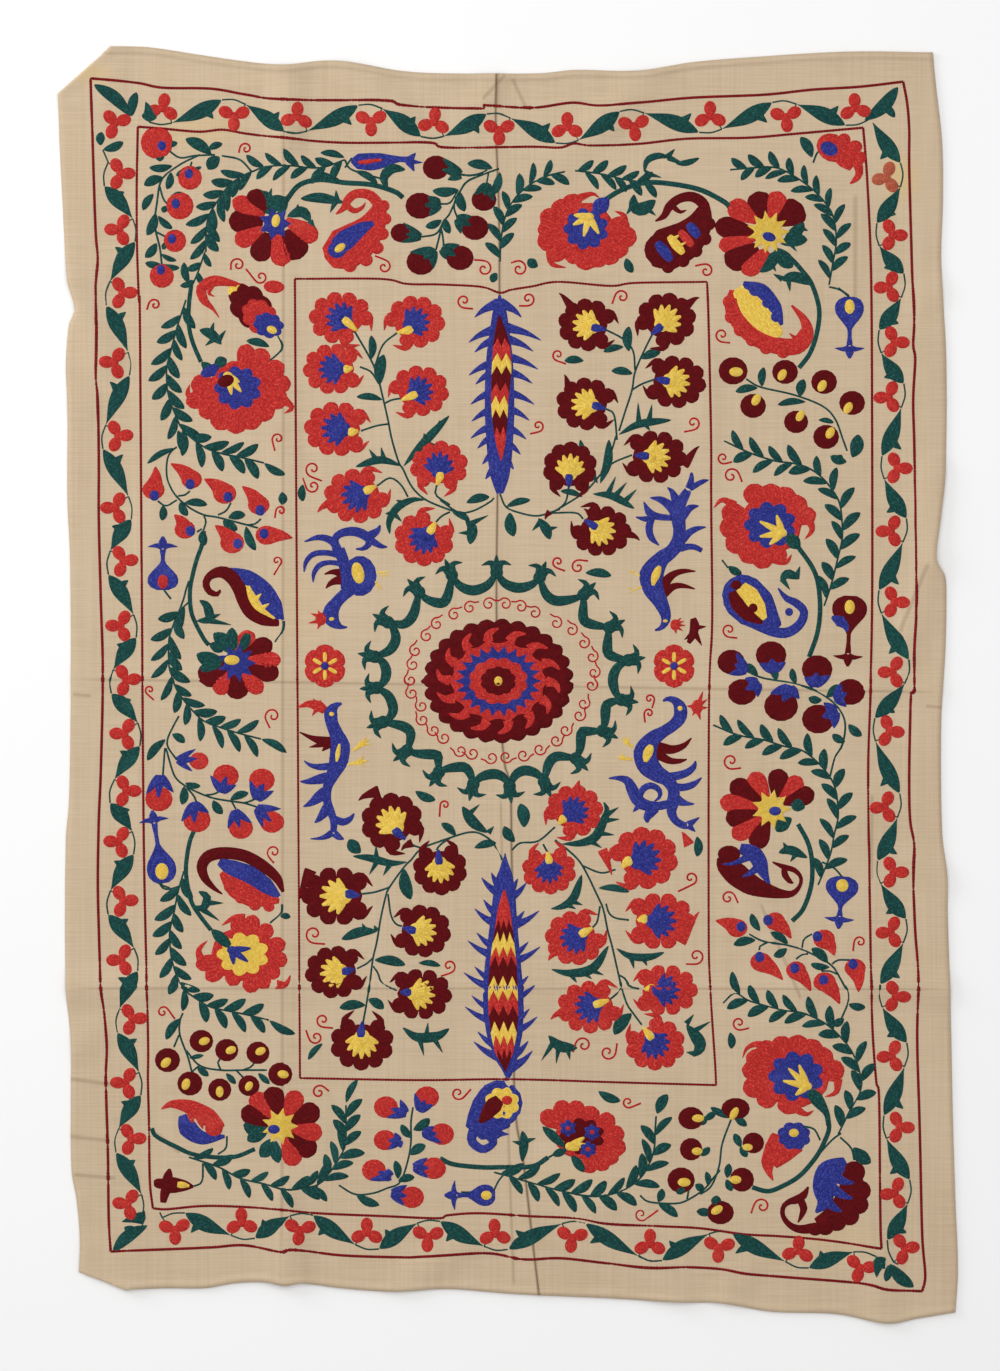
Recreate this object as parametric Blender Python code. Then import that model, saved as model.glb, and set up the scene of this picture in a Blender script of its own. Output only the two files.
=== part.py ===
import math

import bmesh
import bpy
from mathutils import Vector

# A large embroidered hanging of two hand-loomed cotton widths, laid face up on a level surface.
# X runs along the top and bottom hems, Y up the cloth, Z up. Tables are in millimetres.
MM = 0.001
CLOTH_THICKNESS = 1.5 * MM
HEM_THICKNESS = 2.4 * MM
HEM_WIDTH = 7.0 * MM
HEM_STEP = 0.7 * MM
SEAM_GAP = 0.3 * MM
SEAM_RIDGE = 0.8 * MM
SEAM_RIDGE_REACH = 18.0 * MM
GRID_PITCH = 20.0 * MM
FLAT_LIMIT = math.radians(0.02)
MERGE_DISTANCE = 0.01 * MM
LAYER_GAP = 0.4 * MM
FOLD_FADE = 34.0 * MM
FOLD_ROLL = 9.0 * MM
ARC_STEPS = 5
EDGE_LIFT = 1.0 * MM
EDGE_REACH = 36.0 * MM
LEVEL_CLEARANCE = 0.04 * MM

COTTON = (0.70, 0.58, 0.42, 1.0)

# The cloth's own uneven outline, each edge a curve through a few points.
# Top hem: x, y
TOP_EDGE = [
    (-541, 759), (-500, 763), (-460, 765), (-430, 764), (-370, 755), (-322, 748), (-268, 743),
    (-226, 748), (-196, 747), (-130, 736), (-82, 733), (38, 733), (80, 737), (158, 736),
    (218, 746), (302, 753), (410, 759), (509, 758),
]
# Bottom hem: x, y
BOTTOM_EDGE = [
    (-517, -728), (-410, -724), (-364, -724), (-327, -718), (-290, -717), (-268, -721),
    (-250, -718), (-201, -724), (-139, -728), (-73, -725), (8, -731), (118, -736), (211, -741),
    (256, -742), (314, -752), (393, -755), (455, -766), (493, -760), (536, -753),
]
# Left selvedge: y, x
LEFT_EDGE = [
    (-728, -517), (-704, -515), (-667, -514), (-619, -518), (-583, -524), (-499, -525),
    (-427, -525), (-361, -531), (-187, -531), (-139, -527), (8, -525), (155, -526),
    (221, -529), (341, -529), (383, -531), (431, -527), (449, -520), (485, -529), (581, -535),
    (665, -539), (759, -541),
]
# Right selvedge: y, x
RIGHT_EDGE = [
    (-753, 536), (-703, 539), (-619, 536), (-523, 533), (-379, 530), (-283, 527), (-229, 526),
    (-175, 520), (-43, 519), (41, 524), (107, 525), (131, 523), (149, 513), (197, 518),
    (257, 524), (389, 525), (509, 519), (581, 521), (651, 520), (725, 512), (758, 509),
]
# Centre seam between the two widths: y, x
SEAM = [
    (-733, 37), (-667, 29), (-613, 23), (-565, 17), (-527, 10), (-478, 7), (-379, 7),
    (-199, 4), (-117, 2), (-98, -4), (-31, -10), (77, -14), (221, -13), (305, -11),
    (557, -11), (677, -15), (734, -14),
]

# Storage creases and soft pleats, each a raised line: x0, y0, x1, y1, height, half width
FOLDS = [
    (-266, 752, -266, 664, 4.5, 34),
    (-266, 664, -270, -612, 1.8, 24),
    (-270, -612, -272, -722, 4.5, 34),
    (-534, -363, -430, -363, 4.0, 30),
    (-430, -363, 430, -363, 1.4, 24),
    (430, -363, 532, -365, 4.0, 30),
    (-525, 9, 524, -8, 1.4, 24),
    (-190, 742, -130, 682, 3.5, 32),
    (-130, 682, -52, 610, 2.5, 32),
    (-19, 734, -46, 671, 3.0, 30),
    (172, 738, 110, 670, 3.5, 32),
    (110, 670, 56, 622, 2.5, 32),
    (50, -576, 110, -624, 3.0, 34),
    (110, -624, 200, -740, 5.0, 36),
    (-58, -672, -130, -724, 3.5, 32),
    (-526, 478, -484, 390, 4.0, 32),
    (-532, 502, -490, 488, 3.0, 30),
    (-529, 343, -500, 335, 2.5, 28),
    (-525, -436, -498, -421, 2.5, 28),
    (496, 460, 523, 476, 3.0, 28),
    (514, 252, 512, 152, 4.5, 32),
    (512, 152, 476, 40, 3.5, 32),
    (434, -6, 404, -66, 2.5, 30),
    (486, -216, 526, -234, 4.0, 30),
    (296, -258, 350, -378, 2.5, 30),
    (262, -742, 286, -700, 3.5, 30),
    (434, -618, 453, -762, 4.0, 34),
    (-256, -666, -250, -718, 3.0, 28),
    (-428, 604, -428, 150, 1.6, 26),
    (238, 460, 240, 54, 1.6, 26),
]

# Corners turned beneath the cloth: the visible fold line x0, y0, x1, y1, and the roll's extra height
LEFT_CORNERS = [
    (-539, 709, -478, 763, 1.6),
    (-454, -727, -515, -704, 0.8),
]
NO_CORNERS = []

# The level area that each width rests on: lowest x and y, highest x and y. The cloth curls up a little
# all round it, towards the hems, the selvedge and the seam.
LEFT_LEVEL = (-470, -560, -60, 560)
RIGHT_LEVEL = (60, -500, 470, 560)


def clear_scene():
    for old in list(bpy.data.objects):
        bpy.data.objects.remove(old, do_unlink=True)


def curve_at(table, position):
    # A smooth curve through the table's points, read at a distance along its first column.
    points = [(a * MM, b * MM) for a, b in table]
    position = min(max(position, points[0][0]), points[-1][0])
    last = len(points) - 2
    k = next((i for i in range(last) if position <= points[i + 1][0]), last)
    (x0, y0), (x1, y1) = points[k], points[k + 1]
    step = x1 - x0
    before = points[max(k - 1, 0)]
    after = points[min(k + 2, len(points) - 1)]
    slope0 = (y1 - before[1]) / (x1 - before[0])
    slope1 = (after[1] - y0) / (after[0] - x0)
    t = (position - x0) / step
    rise = (2 * t**3 - 3 * t**2 + 1) * y0 + (3 * t**2 - 2 * t**3) * y1
    return rise + step * ((t**3 - 2 * t**2 + t) * slope0 + (t**3 - t**2) * slope1)


def cloth_point(west, east, across, up):
    # The place on the cloth at two fractions, from 0 to 1, between its four curved edges.
    x = y = 0.0
    for _ in range(5):
        low = curve_at(BOTTOM_EDGE, x)
        high = curve_at(TOP_EDGE, x)
        y = low + (high - low) * up
        x = west(y) + (east(y) - west(y)) * across
    return x, y


def swell(distance, reach):
    # One at no distance, falling smoothly to nothing at the reach.
    t = min(abs(distance) / reach, 1.0)
    return (1.0 - t * t) ** 2


def distance_to_line(x, y, row):
    start = Vector((row[0], row[1])) * MM
    end = Vector((row[2], row[3])) * MM
    run = end - start
    along = (Vector((x, y)) - start).dot(run) / run.length_squared
    nearest = start + run * min(max(along, 0.0), 1.0)
    return (Vector((x, y)) - nearest).length


def fold_lift(x, y):
    seam = swell(x - curve_at(SEAM, y), SEAM_RIDGE_REACH) * SEAM_RIDGE
    return seam + sum(row[4] * MM * swell(distance_to_line(x, y, row), row[5] * MM) for row in FOLDS)


def edge_lift(x, y, level):
    # The level area touches at its four corners. Outside it the cloth rises quickly to the edges' height.
    x0, y0, x1, y1 = (side * MM for side in level)
    if min(math.hypot(x - a, y - b) for a in (x0, x1) for b in (y0, y1)) < MERGE_DISTANCE:
        return 0.0
    outside = math.hypot(max(x0 - x, x - x1, 0.0), max(y0 - y, y - y1, 0.0))
    left = 1.0 - min(outside / EDGE_REACH, 1.0)
    return LEVEL_CLEARANCE + EDGE_LIFT * (1.0 - left * left)


def stations(length, ends):
    # Fractions along one side of the grid, with close rows at each end for a hem where asked.
    count = round(length / GRID_PITCH)
    inner = [k / count for k in range(count + 1)]
    if not ends:
        return inner
    hem = HEM_WIDTH / length
    step = (HEM_WIDTH + HEM_STEP) / length
    return sorted(inner + [hem, step, 1.0 - hem, 1.0 - step])


def flat_grid(west, east, width, height):
    # The unfolded cloth as a level grid, and how much of a hem each of its points is.
    columns = stations(width, False)
    rows = stations(height, True)
    bm = bmesh.new()
    hem = bm.verts.layers.float.new("hem")
    bmesh.ops.create_grid(
        bm, x_segments=len(columns) - 1, y_segments=len(rows) - 1, size=0.5)
    for vert in bm.verts:
        across = columns[round((vert.co.x + 0.5) * (len(columns) - 1))]
        up = rows[round((vert.co.y + 0.5) * (len(rows) - 1))]
        x, y = cloth_point(west, east, across, up)
        vert[hem] = 1.0 if min(up, 1.0 - up) * height < HEM_WIDTH + HEM_STEP / 2 else 0.0
        vert.co = Vector((x, y, 0.0))
    return bm, hem


class Corner:
    # One corner turned beneath the cloth along a slanting line.
    def __init__(self, row, tip):
        start = Vector((row[0], row[1])) * MM
        end = Vector((row[2], row[3])) * MM
        self.lift = HEM_THICKNESS + LAYER_GAP
        self.roll = row[4] * MM
        self.radius = (self.lift + self.roll) / 2
        self.out = Vector((start.y - end.y, end.x - start.x)).normalized()
        self.start = start - self.out * self.radius
        self.end = end - self.out * self.radius
        depth = (tip - self.start).dot(self.out)
        self.tip = tip - self.out * (2 * depth)

    def past(self, x, y):
        return (Vector((x, y)) - self.start).dot(self.out)

    def arc(self):
        return math.pi * self.radius

    def distance_from_flap(self, x, y):
        # Zero over the hidden flap, a triangle, and growing away from it.
        point = Vector((x, y))
        sides = [(self.start, self.end), (self.end, self.tip), (self.tip, self.start)]
        inside = all((b - a).cross(point - a) <= 0.0 for a, b in sides)
        rows = [(a.x / MM, a.y / MM, b.x / MM, b.y / MM) for a, b in sides]
        return 0.0 if inside else min(distance_to_line(x, y, row) for row in rows)

    def raised(self, x, y):
        near = swell(self.distance_from_flap(x, y), FOLD_FADE)
        return near * (self.lift + self.roll * swell(self.past(x, y), FOLD_ROLL))


def cut_row(bm, place, across):
    # One straight row of points through a place, square to a direction.
    bmesh.ops.bisect_plane(
        bm,
        geom=bm.verts[:] + bm.edges[:] + bm.faces[:],
        dist=MERGE_DISTANCE,
        plane_co=(place[0], place[1], 0.0),
        plane_no=(across[0], across[1], 0.0),
    )


def cut_fold(bm, corner):
    # Rows of points along the fold, so that the cloth can bend round it.
    for k in range(ARC_STEPS + 1):
        cut_row(bm, corner.start + corner.out * (corner.arc() * k / ARC_STEPS), corner.out)


def cut_level(bm, level):
    # Rows of points on the four sides of the level area.
    x0, y0, x1, y1 = (side * MM for side in level)
    for place, across in [((x0, y0), (1, 0)), ((x0, y0), (0, 1)), ((x1, y1), (1, 0)), ((x1, y1), (0, 1))]:
        cut_row(bm, place, across)


def drape(bm, hem, corners, level):
    # The height of every point, and the turned corners bent beneath.
    for vert in bm.verts:
        x, y = vert.co.x, vert.co.y
        half = (CLOTH_THICKNESS + (HEM_THICKNESS - CLOTH_THICKNESS) * vert[hem]) / 2
        half += edge_lift(x, y, level)
        turned = next((c for c in corners if c.past(x, y) > MERGE_DISTANCE), None)
        if turned is None:
            near = max((swell(c.distance_from_flap(x, y), FOLD_FADE) for c in corners), default=0.0)
            raised = sum(c.raised(x, y) for c in corners)
            vert.co.z = half + raised + fold_lift(x, y) * (1.0 - near)
            continue
        past = turned.past(x, y)
        foot = Vector((x, y)) - turned.out * past
        angle = min(past / turned.radius, math.pi)
        slide = turned.radius * math.sin(angle) - max(past - turned.arc(), 0.0)
        place = foot + turned.out * slide
        vert.co = Vector((place.x, place.y, half + turned.radius * (1.0 + math.cos(angle))))


def cotton(name):
    material = bpy.data.materials.new(name)
    material.use_nodes = True
    shader = material.node_tree.nodes["Principled BSDF"]
    shader.inputs["Base Color"].default_value = COTTON
    shader.inputs["Roughness"].default_value = 0.9
    shader.inputs["Metallic"].default_value = 0.0
    return material


def cloth_object(name, bm, hem):
    # The level areas become large faces, then the sheet gets its thickness.
    bmesh.ops.dissolve_limit(
        bm,
        angle_limit=FLAT_LIMIT,
        use_dissolve_boundaries=False,
        verts=bm.verts[:],
        edges=bm.edges[:],
        delimit=set(),
    )
    bmesh.ops.triangulate(bm, faces=bm.faces[:], quad_method="BEAUTY", ngon_method="BEAUTY")
    bm.verts.index_update()
    weights = [vert[hem] for vert in bm.verts]
    mesh = bpy.data.meshes.new(name)
    bm.to_mesh(mesh)
    bm.free()
    cloth = bpy.data.objects.new(name, mesh)
    bpy.context.collection.objects.link(cloth)
    group = cloth.vertex_groups.new(name="hem")
    for index, weight in enumerate(weights):
        group.add([index], weight, "REPLACE")
    solid = cloth.modifiers.new("thickness", "SOLIDIFY")
    solid.thickness = HEM_THICKNESS
    solid.offset = 0.0
    solid.vertex_group = group.name
    solid.thickness_vertex_group = CLOTH_THICKNESS / HEM_THICKNESS
    mesh.materials.append(cotton(name + "_cotton"))
    return cloth


def build_panel(name, west, east, level, corner_rows, tips):
    # Both widths have the same rows, so that their edges match along the seam.
    width = east(0.0) - west(0.0)
    height = (SEAM[-1][0] - SEAM[0][0]) * MM
    bm, hem = flat_grid(west, east, width, height)
    corners = [Corner(row, tip) for row, tip in zip(corner_rows, tips)]
    for corner in corners:
        cut_fold(bm, corner)
    cut_level(bm, level)
    drape(bm, hem, corners, level)
    return cloth_object(name, bm, hem)


def left_edge(y):
    return curve_at(LEFT_EDGE, y)


def right_edge(y):
    return curve_at(RIGHT_EDGE, y)


def seam_left(y):
    return curve_at(SEAM, y) - SEAM_GAP / 2


def seam_right(y):
    return curve_at(SEAM, y) + SEAM_GAP / 2


def main():
    clear_scene()
    tips = [Vector(TOP_EDGE[0]) * MM, Vector(BOTTOM_EDGE[0]) * MM]
    build_panel("panel_left", left_edge, seam_left, LEFT_LEVEL, LEFT_CORNERS, tips)
    build_panel("panel_right", seam_right, right_edge, RIGHT_LEVEL, NO_CORNERS, [])


main()
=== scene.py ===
import math

import bmesh
import bpy
import numpy as np
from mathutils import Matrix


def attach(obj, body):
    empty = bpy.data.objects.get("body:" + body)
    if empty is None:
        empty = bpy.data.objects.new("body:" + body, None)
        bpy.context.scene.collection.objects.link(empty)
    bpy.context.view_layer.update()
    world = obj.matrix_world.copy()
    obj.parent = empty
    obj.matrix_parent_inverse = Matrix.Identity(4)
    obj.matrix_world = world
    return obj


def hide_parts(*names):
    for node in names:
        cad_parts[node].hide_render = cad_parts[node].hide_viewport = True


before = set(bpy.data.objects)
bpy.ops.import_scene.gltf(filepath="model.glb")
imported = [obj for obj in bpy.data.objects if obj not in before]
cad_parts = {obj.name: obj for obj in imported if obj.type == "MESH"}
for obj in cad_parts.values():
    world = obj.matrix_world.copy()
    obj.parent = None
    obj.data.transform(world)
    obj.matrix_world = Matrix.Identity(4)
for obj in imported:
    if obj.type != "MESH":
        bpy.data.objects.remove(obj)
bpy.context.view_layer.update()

# Places on the cloth are written as photo pixels, right and down, and sizes in millimetres.
mm = 0.001
pixel = 1.2 * mm  # the cloth's real size for one photo pixel
middle = (508.5, 684.5)  # the photo pixel at the cloth's middle

# The cloth's form
cloth = {
    "thickness": 1.5, "hemThickness": 2.4, "hemWidth": 7.0, "hemStep": 0.7, "seamGap": 0.3,
    "seamRidge": 0.8, "seamReach": 18.0, "clearance": 0.04, "seamShade": 2.5, "edgeLift": 1.0,
    "edgeReach": 36.0, "layerGap": 0.4, "seamShadeStrength": 0.75,
    "foldFade": 34.0, "foldRoll": 9.0, "pitch": 6.2, "arcSteps": 10,
}
# The same edges, seam and folds as the solids have, in millimetres from the cloth's middle.
topEdge = [  # x, y
    (-541, 759), (-500, 763), (-460, 765), (-430, 764), (-370, 755), (-322, 748), (-268, 743),
    (-226, 748), (-196, 747), (-130, 736), (-82, 733), (38, 733), (80, 737), (158, 736),
    (218, 746), (302, 753), (410, 759), (509, 758),
]
bottomEdge = [  # x, y
    (-517, -728), (-410, -724), (-364, -724), (-327, -718), (-290, -717), (-268, -721),
    (-250, -718), (-201, -724), (-139, -728), (-73, -725), (8, -731), (118, -736), (211, -741),
    (256, -742), (314, -752), (393, -755), (455, -766), (493, -760), (536, -753),
]
leftEdge = [  # y, x
    (-728, -517), (-704, -515), (-667, -514), (-619, -518), (-583, -524), (-499, -525),
    (-427, -525), (-361, -531), (-187, -531), (-139, -527), (8, -525), (155, -526),
    (221, -529), (341, -529), (383, -531), (431, -527), (449, -520), (485, -529), (581, -535),
    (665, -539), (759, -541),
]
rightEdge = [  # y, x
    (-753, 536), (-703, 539), (-619, 536), (-523, 533), (-379, 530), (-283, 527), (-229, 526),
    (-175, 520), (-43, 519), (41, 524), (107, 525), (131, 523), (149, 513), (197, 518),
    (257, 524), (389, 525), (509, 519), (581, 521), (651, 520), (725, 512), (758, 509),
]
seamLine = [  # y, x
    (-733, 37), (-667, 29), (-613, 23), (-565, 17), (-527, 10), (-478, 7), (-379, 7),
    (-199, 4), (-117, 2), (-98, -4), (-31, -10), (77, -14), (221, -13), (305, -11),
    (557, -11), (677, -15), (734, -14),
]
# Raised lines: x0, y0, x1, y1, height, half width
folds = [
    (-266, 752, -266, 664, 4.5, 34), (-266, 664, -270, -612, 1.8, 24),
    (-270, -612, -272, -722, 4.5, 34), (-534, -363, -430, -363, 4.0, 30),
    (-430, -363, 430, -363, 1.4, 24), (430, -363, 532, -365, 4.0, 30),
    (-525, 9, 524, -8, 1.4, 24), (-190, 742, -130, 682, 3.5, 32),
    (-130, 682, -52, 610, 2.5, 32), (-19, 734, -46, 671, 3.0, 30),
    (172, 738, 110, 670, 3.5, 32), (110, 670, 56, 622, 2.5, 32),
    (50, -576, 110, -624, 3.0, 34), (110, -624, 200, -740, 5.0, 36),
    (-58, -672, -130, -724, 3.5, 32), (-526, 478, -484, 390, 4.0, 32),
    (-532, 502, -490, 488, 3.0, 30), (-529, 343, -500, 335, 2.5, 28),
    (-525, -436, -498, -421, 2.5, 28), (496, 460, 523, 476, 3.0, 28),
    (514, 252, 512, 152, 4.5, 32), (512, 152, 476, 40, 3.5, 32),
    (434, -6, 404, -66, 2.5, 30), (486, -216, 526, -234, 4.0, 30),
    (296, -258, 350, -378, 2.5, 30), (262, -742, 286, -700, 3.5, 30),
    (434, -618, 453, -762, 4.0, 34), (-256, -666, -250, -718, 3.0, 28),
    (-428, 604, -428, 150, 1.6, 26), (238, 460, 240, 54, 1.6, 26),
]
# Sharp creases pressed in storage, finer than the solids show: x0, y0, x1, y1, height, half width
creases = [
    (-530, -363, 530, -364, 0.9, 5), (-526, 8, 523, -8, 0.5, 6), (-268, 700, -270, -700, 0.5, 7),
    (-11, 736, -12, 690, 0.8, 9), (-2, 730, -30, 700, 0.7, 8), (6, 728, 24, 690, 0.6, 8),
    (418, 590, 418, 440, 0.7, 9), (438, -130, 437, -236, 0.7, 8), (-530, -470, -470, -478, 0.9, 9),
    (-527, -540, -480, -545, 0.8, 8), (-522, -586, -470, -590, 0.8, 8), (-424, -535, -392, -560, 0.8, 9),
    (-8, -130, -1, -478, 0.6, 6), (-1, -478, 8, -725, 0.6, 6), (505, 145, 470, 60, 0.9, 9),
    (500, -24, 523, -26, 0.7, 7), (-523, -10, -500, -12, 0.7, 7), (350, -380, 300, -262, 0.5, 7),
]
cornerRows = [(-539, 709, -478, 763, 1.6, -541, 759), (-454, -727, -515, -704, 0.8, -517, -728)]
levelAreas = {"panel_left": (-470, -560, -60, 560), "panel_right": (60, -500, 470, 560)}


def curveAt(table, position):
    # the smooth curve through a table's points, for an array of distances in millimetres
    a = np.array([row[0] for row in table], float)
    b = np.array([row[1] for row in table], float)
    slopes = np.empty(len(a))
    slopes[1:-1] = (b[2:] - b[:-2]) / (a[2:] - a[:-2])
    slopes[0] = (b[1] - b[0]) / (a[1] - a[0])
    slopes[-1] = (b[-1] - b[-2]) / (a[-1] - a[-2])
    p = np.clip(position, a[0], a[-1])
    k = np.clip(np.searchsorted(a, p) - 1, 0, len(a) - 2)
    step = a[k + 1] - a[k]
    t = (p - a[k]) / step
    rise = (2 * t**3 - 3 * t**2 + 1) * b[k] + (3 * t**2 - 2 * t**3) * b[k + 1]
    return rise + step * ((t**3 - 2 * t**2 + t) * slopes[k] + (t**3 - t**2) * slopes[k + 1])


def swell(distance, reach):
    t = np.minimum(np.abs(distance) / reach, 1.0)
    return (1.0 - t * t) ** 2


def distanceToLine(x, y, row):
    dx, dy = row[2] - row[0], row[3] - row[1]
    along = np.clip(((x - row[0]) * dx + (y - row[1]) * dy) / (dx * dx + dy * dy), 0.0, 1.0)
    return np.hypot(x - row[0] - dx * along, y - row[1] - dy * along)


def foldLift(x, y):
    lift = swell(x - curveAt(seamLine, y), cloth["seamReach"]) * cloth["seamRidge"]
    for row in folds + creases:
        lift = lift + row[4] * swell(distanceToLine(x, y, row), row[5])
    return lift


def edgeLift(x, y, level):
    # the level area stands just clear, and outside it the cloth curls up to the edges' height
    x0, y0, x1, y1 = level
    out = np.hypot(np.maximum(np.maximum(x0 - x, x - x1), 0.0), np.maximum(np.maximum(y0 - y, y - y1), 0.0))
    left = 1.0 - np.minimum(out / cloth["edgeReach"], 1.0)
    return cloth["clearance"] + cloth["edgeLift"] * (1.0 - left * left)


class Corner:
    # one corner turned beneath the cloth along a slanting line
    def __init__(self, row):
        x0, y0, x1, y1, roll, tipX, tipY = row
        length = math.hypot(x1 - x0, y1 - y0)
        self.lift = cloth["hemThickness"] + cloth["layerGap"]
        self.roll = roll
        self.radius = (self.lift + roll) / 2
        self.out = ((y0 - y1) / length, (x1 - x0) / length)
        back = self.radius
        self.start = (x0 - self.out[0] * back, y0 - self.out[1] * back)
        self.end = (x1 - self.out[0] * back, y1 - self.out[1] * back)
        depth = (tipX - self.start[0]) * self.out[0] + (tipY - self.start[1]) * self.out[1]
        self.tip = (tipX - self.out[0] * 2 * depth, tipY - self.out[1] * 2 * depth)

    def past(self, x, y):
        return (x - self.start[0]) * self.out[0] + (y - self.start[1]) * self.out[1]

    def distanceFromFlap(self, x, y):
        sides = [(self.start, self.end), (self.end, self.tip), (self.tip, self.start)]
        inside = np.ones(np.shape(x), bool)
        near = np.full(np.shape(x), 1e9)
        for a, b in sides:
            inside &= (b[0] - a[0]) * (y - a[1]) - (b[1] - a[1]) * (x - a[0]) <= 0.0
            near = np.minimum(near, distanceToLine(x, y, (*a, *b)))
        return np.where(inside, 0.0, near)

    def raised(self, x, y):
        near = swell(self.distanceFromFlap(x, y), cloth["foldFade"])
        return near * (self.lift + self.roll * swell(self.past(x, y), cloth["foldRoll"]))


corners = [Corner(row) for row in cornerRows]


def onLeft(x, y):
    return x < curveAt(seamLine, y)


def middleHeight(x, y, half):
    # the height of the middle of the cloth's thickness, in millimetres
    level = np.where(onLeft(x, y), edgeLift(x, y, levelAreas["panel_left"]),
                     edgeLift(x, y, levelAreas["panel_right"]))
    near = np.maximum.reduce([swell(c.distanceFromFlap(x, y), cloth["foldFade"]) for c in corners])
    raised = sum(c.raised(x, y) for c in corners)
    return half + level + raised + foldLift(x, y) * (1.0 - near)


def clothTop(x, y):
    return middleHeight(x, y, cloth["thickness"] / 2) + cloth["thickness"] / 2


# Colours and materials
def linear(red, green, blue):
    def one(value):
        value /= 255.0
        return value / 12.92 if value <= 0.04045 else ((value + 0.055) / 1.055) ** 2.4
    return (one(red), one(green), one(blue), 1.0)


threads = {  # main colour, its darker strands (also the painted shade in stitch hollows) and its lighter strands
    "coral": ((200, 44, 40), (150, 22, 26), (226, 92, 76)),
    "maroon": ((98, 0, 8), (62, 0, 4), (122, 10, 16)),
    "green": ((18, 70, 66), (8, 40, 40), (48, 108, 100)),
    "blue": ((44, 52, 142), (24, 28, 96), (84, 92, 176)),
    "yellow": ((238, 204, 84), (214, 160, 44), (250, 228, 132)),
    "red": ((190, 28, 30), (140, 16, 22), (214, 66, 58)),
    "frameRed": ((128, 12, 22), (78, 4, 12), (166, 34, 38)),
    "faded": ((186, 92, 66), (150, 60, 44), (206, 128, 98)),
}


def newGroup(name, inputs, outputs):
    group = bpy.data.node_groups.new(name, "ShaderNodeTree")
    for label, kind, value in inputs:
        socket = group.interface.new_socket(name=label, in_out="INPUT", socket_type="NodeSocket" + kind)
        if value is not None:
            socket.default_value = value
    for label, kind in outputs:
        group.interface.new_socket(name=label, in_out="OUTPUT", socket_type="NodeSocket" + kind)
    start = group.nodes.new("NodeGroupInput")
    end = group.nodes.new("NodeGroupOutput")
    return group, start, end


def addNode(tree, kind, settings=None, **values):
    node = tree.nodes.new("ShaderNode" + kind)
    for key, value in (settings or {}).items():
        setattr(node, key, value)
    for key, value in values.items():
        socket = node.inputs[int(key[1:])] if key[0] == "i" and key[1:].isdigit() else node.inputs[key]
        if isinstance(value, bpy.types.NodeSocket):
            tree.links.new(value, socket)
        else:
            socket.default_value = value
    return node


def maths(tree, operation, first, second=0.0, third=None):
    values = {"i0": first, "i1": second}
    if third is not None:
        values["i2"] = third
    return addNode(tree, "Math", {"operation": operation}, **values).outputs[0]


def mixColour(tree, amount, first, second, blend="MIX"):
    node = addNode(tree, "Mix", {"data_type": "RGBA", "blend_type": blend}, i0=amount, i6=first, i7=second)
    return node.outputs[2]


def ramp(tree, value, low, high, toLow=0.0, toHigh=1.0):
    node = addNode(tree, "MapRange", {"interpolation_type": "SMOOTHSTEP"}, i0=value, i1=low, i2=high,
                   i3=toLow, i4=toHigh)
    return node.outputs[0]


def chainStitchGroup():
    # rows of looped stitches along the piece's own UV, in metres: u along a row, v across the rows
    group, start, end = newGroup(
        "chainStitch", [("UV", "Vector", None), ("Row", "Float", 0.0014), ("Stitch", "Float", 0.0034)],
        [("Height", "Float"), ("Strand", "Float"), ("Mottle", "Float")])
    uv = start.outputs["UV"]
    wobble = addNode(group, "TexNoise", {"noise_dimensions": "2D"}, Vector=uv, Scale=180.0, Detail=1.0)
    parts = addNode(group, "SeparateXYZ", Vector=uv).outputs
    shift = maths(group, "MULTIPLY_ADD", wobble.outputs["Fac"], 0.0012, parts[1])
    row = maths(group, "DIVIDE", shift, start.outputs["Row"])
    inRow = maths(group, "FRACT", row)
    across = maths(group, "ABSOLUTE", maths(group, "MULTIPLY_ADD", inRow, 2.0, -1.0))
    rowNumber = maths(group, "FLOOR", row)
    offset = maths(group, "MULTIPLY", rowNumber, 0.37)
    along = maths(group, "ADD", maths(group, "DIVIDE", parts[0], start.outputs["Stitch"]), offset)
    loop = maths(group, "FRACT", maths(group, "MULTIPLY_ADD", across, 0.35, along))
    bulge = maths(group, "SINE", maths(group, "MULTIPLY", loop, math.pi))
    ridge = maths(group, "SUBTRACT", 1.0, maths(group, "POWER", across, 3.0))
    height = maths(group, "MULTIPLY", ridge, maths(group, "MULTIPLY_ADD", bulge, 0.6, 0.4))
    cell = addNode(group, "CombineXYZ", X=maths(group, "FLOOR", along), Y=rowNumber).outputs[0]
    white = addNode(group, "TexWhiteNoise", {"noise_dimensions": "2D"}, Vector=cell)
    mottle = addNode(group, "TexNoise", {"noise_dimensions": "2D"}, Vector=uv, Scale=420.0, Detail=2.0)
    group.links.new(height, end.inputs["Height"])
    group.links.new(white.outputs["Value"], end.inputs["Strand"])
    group.links.new(mottle.outputs["Fac"], end.inputs["Mottle"])
    return group


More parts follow.
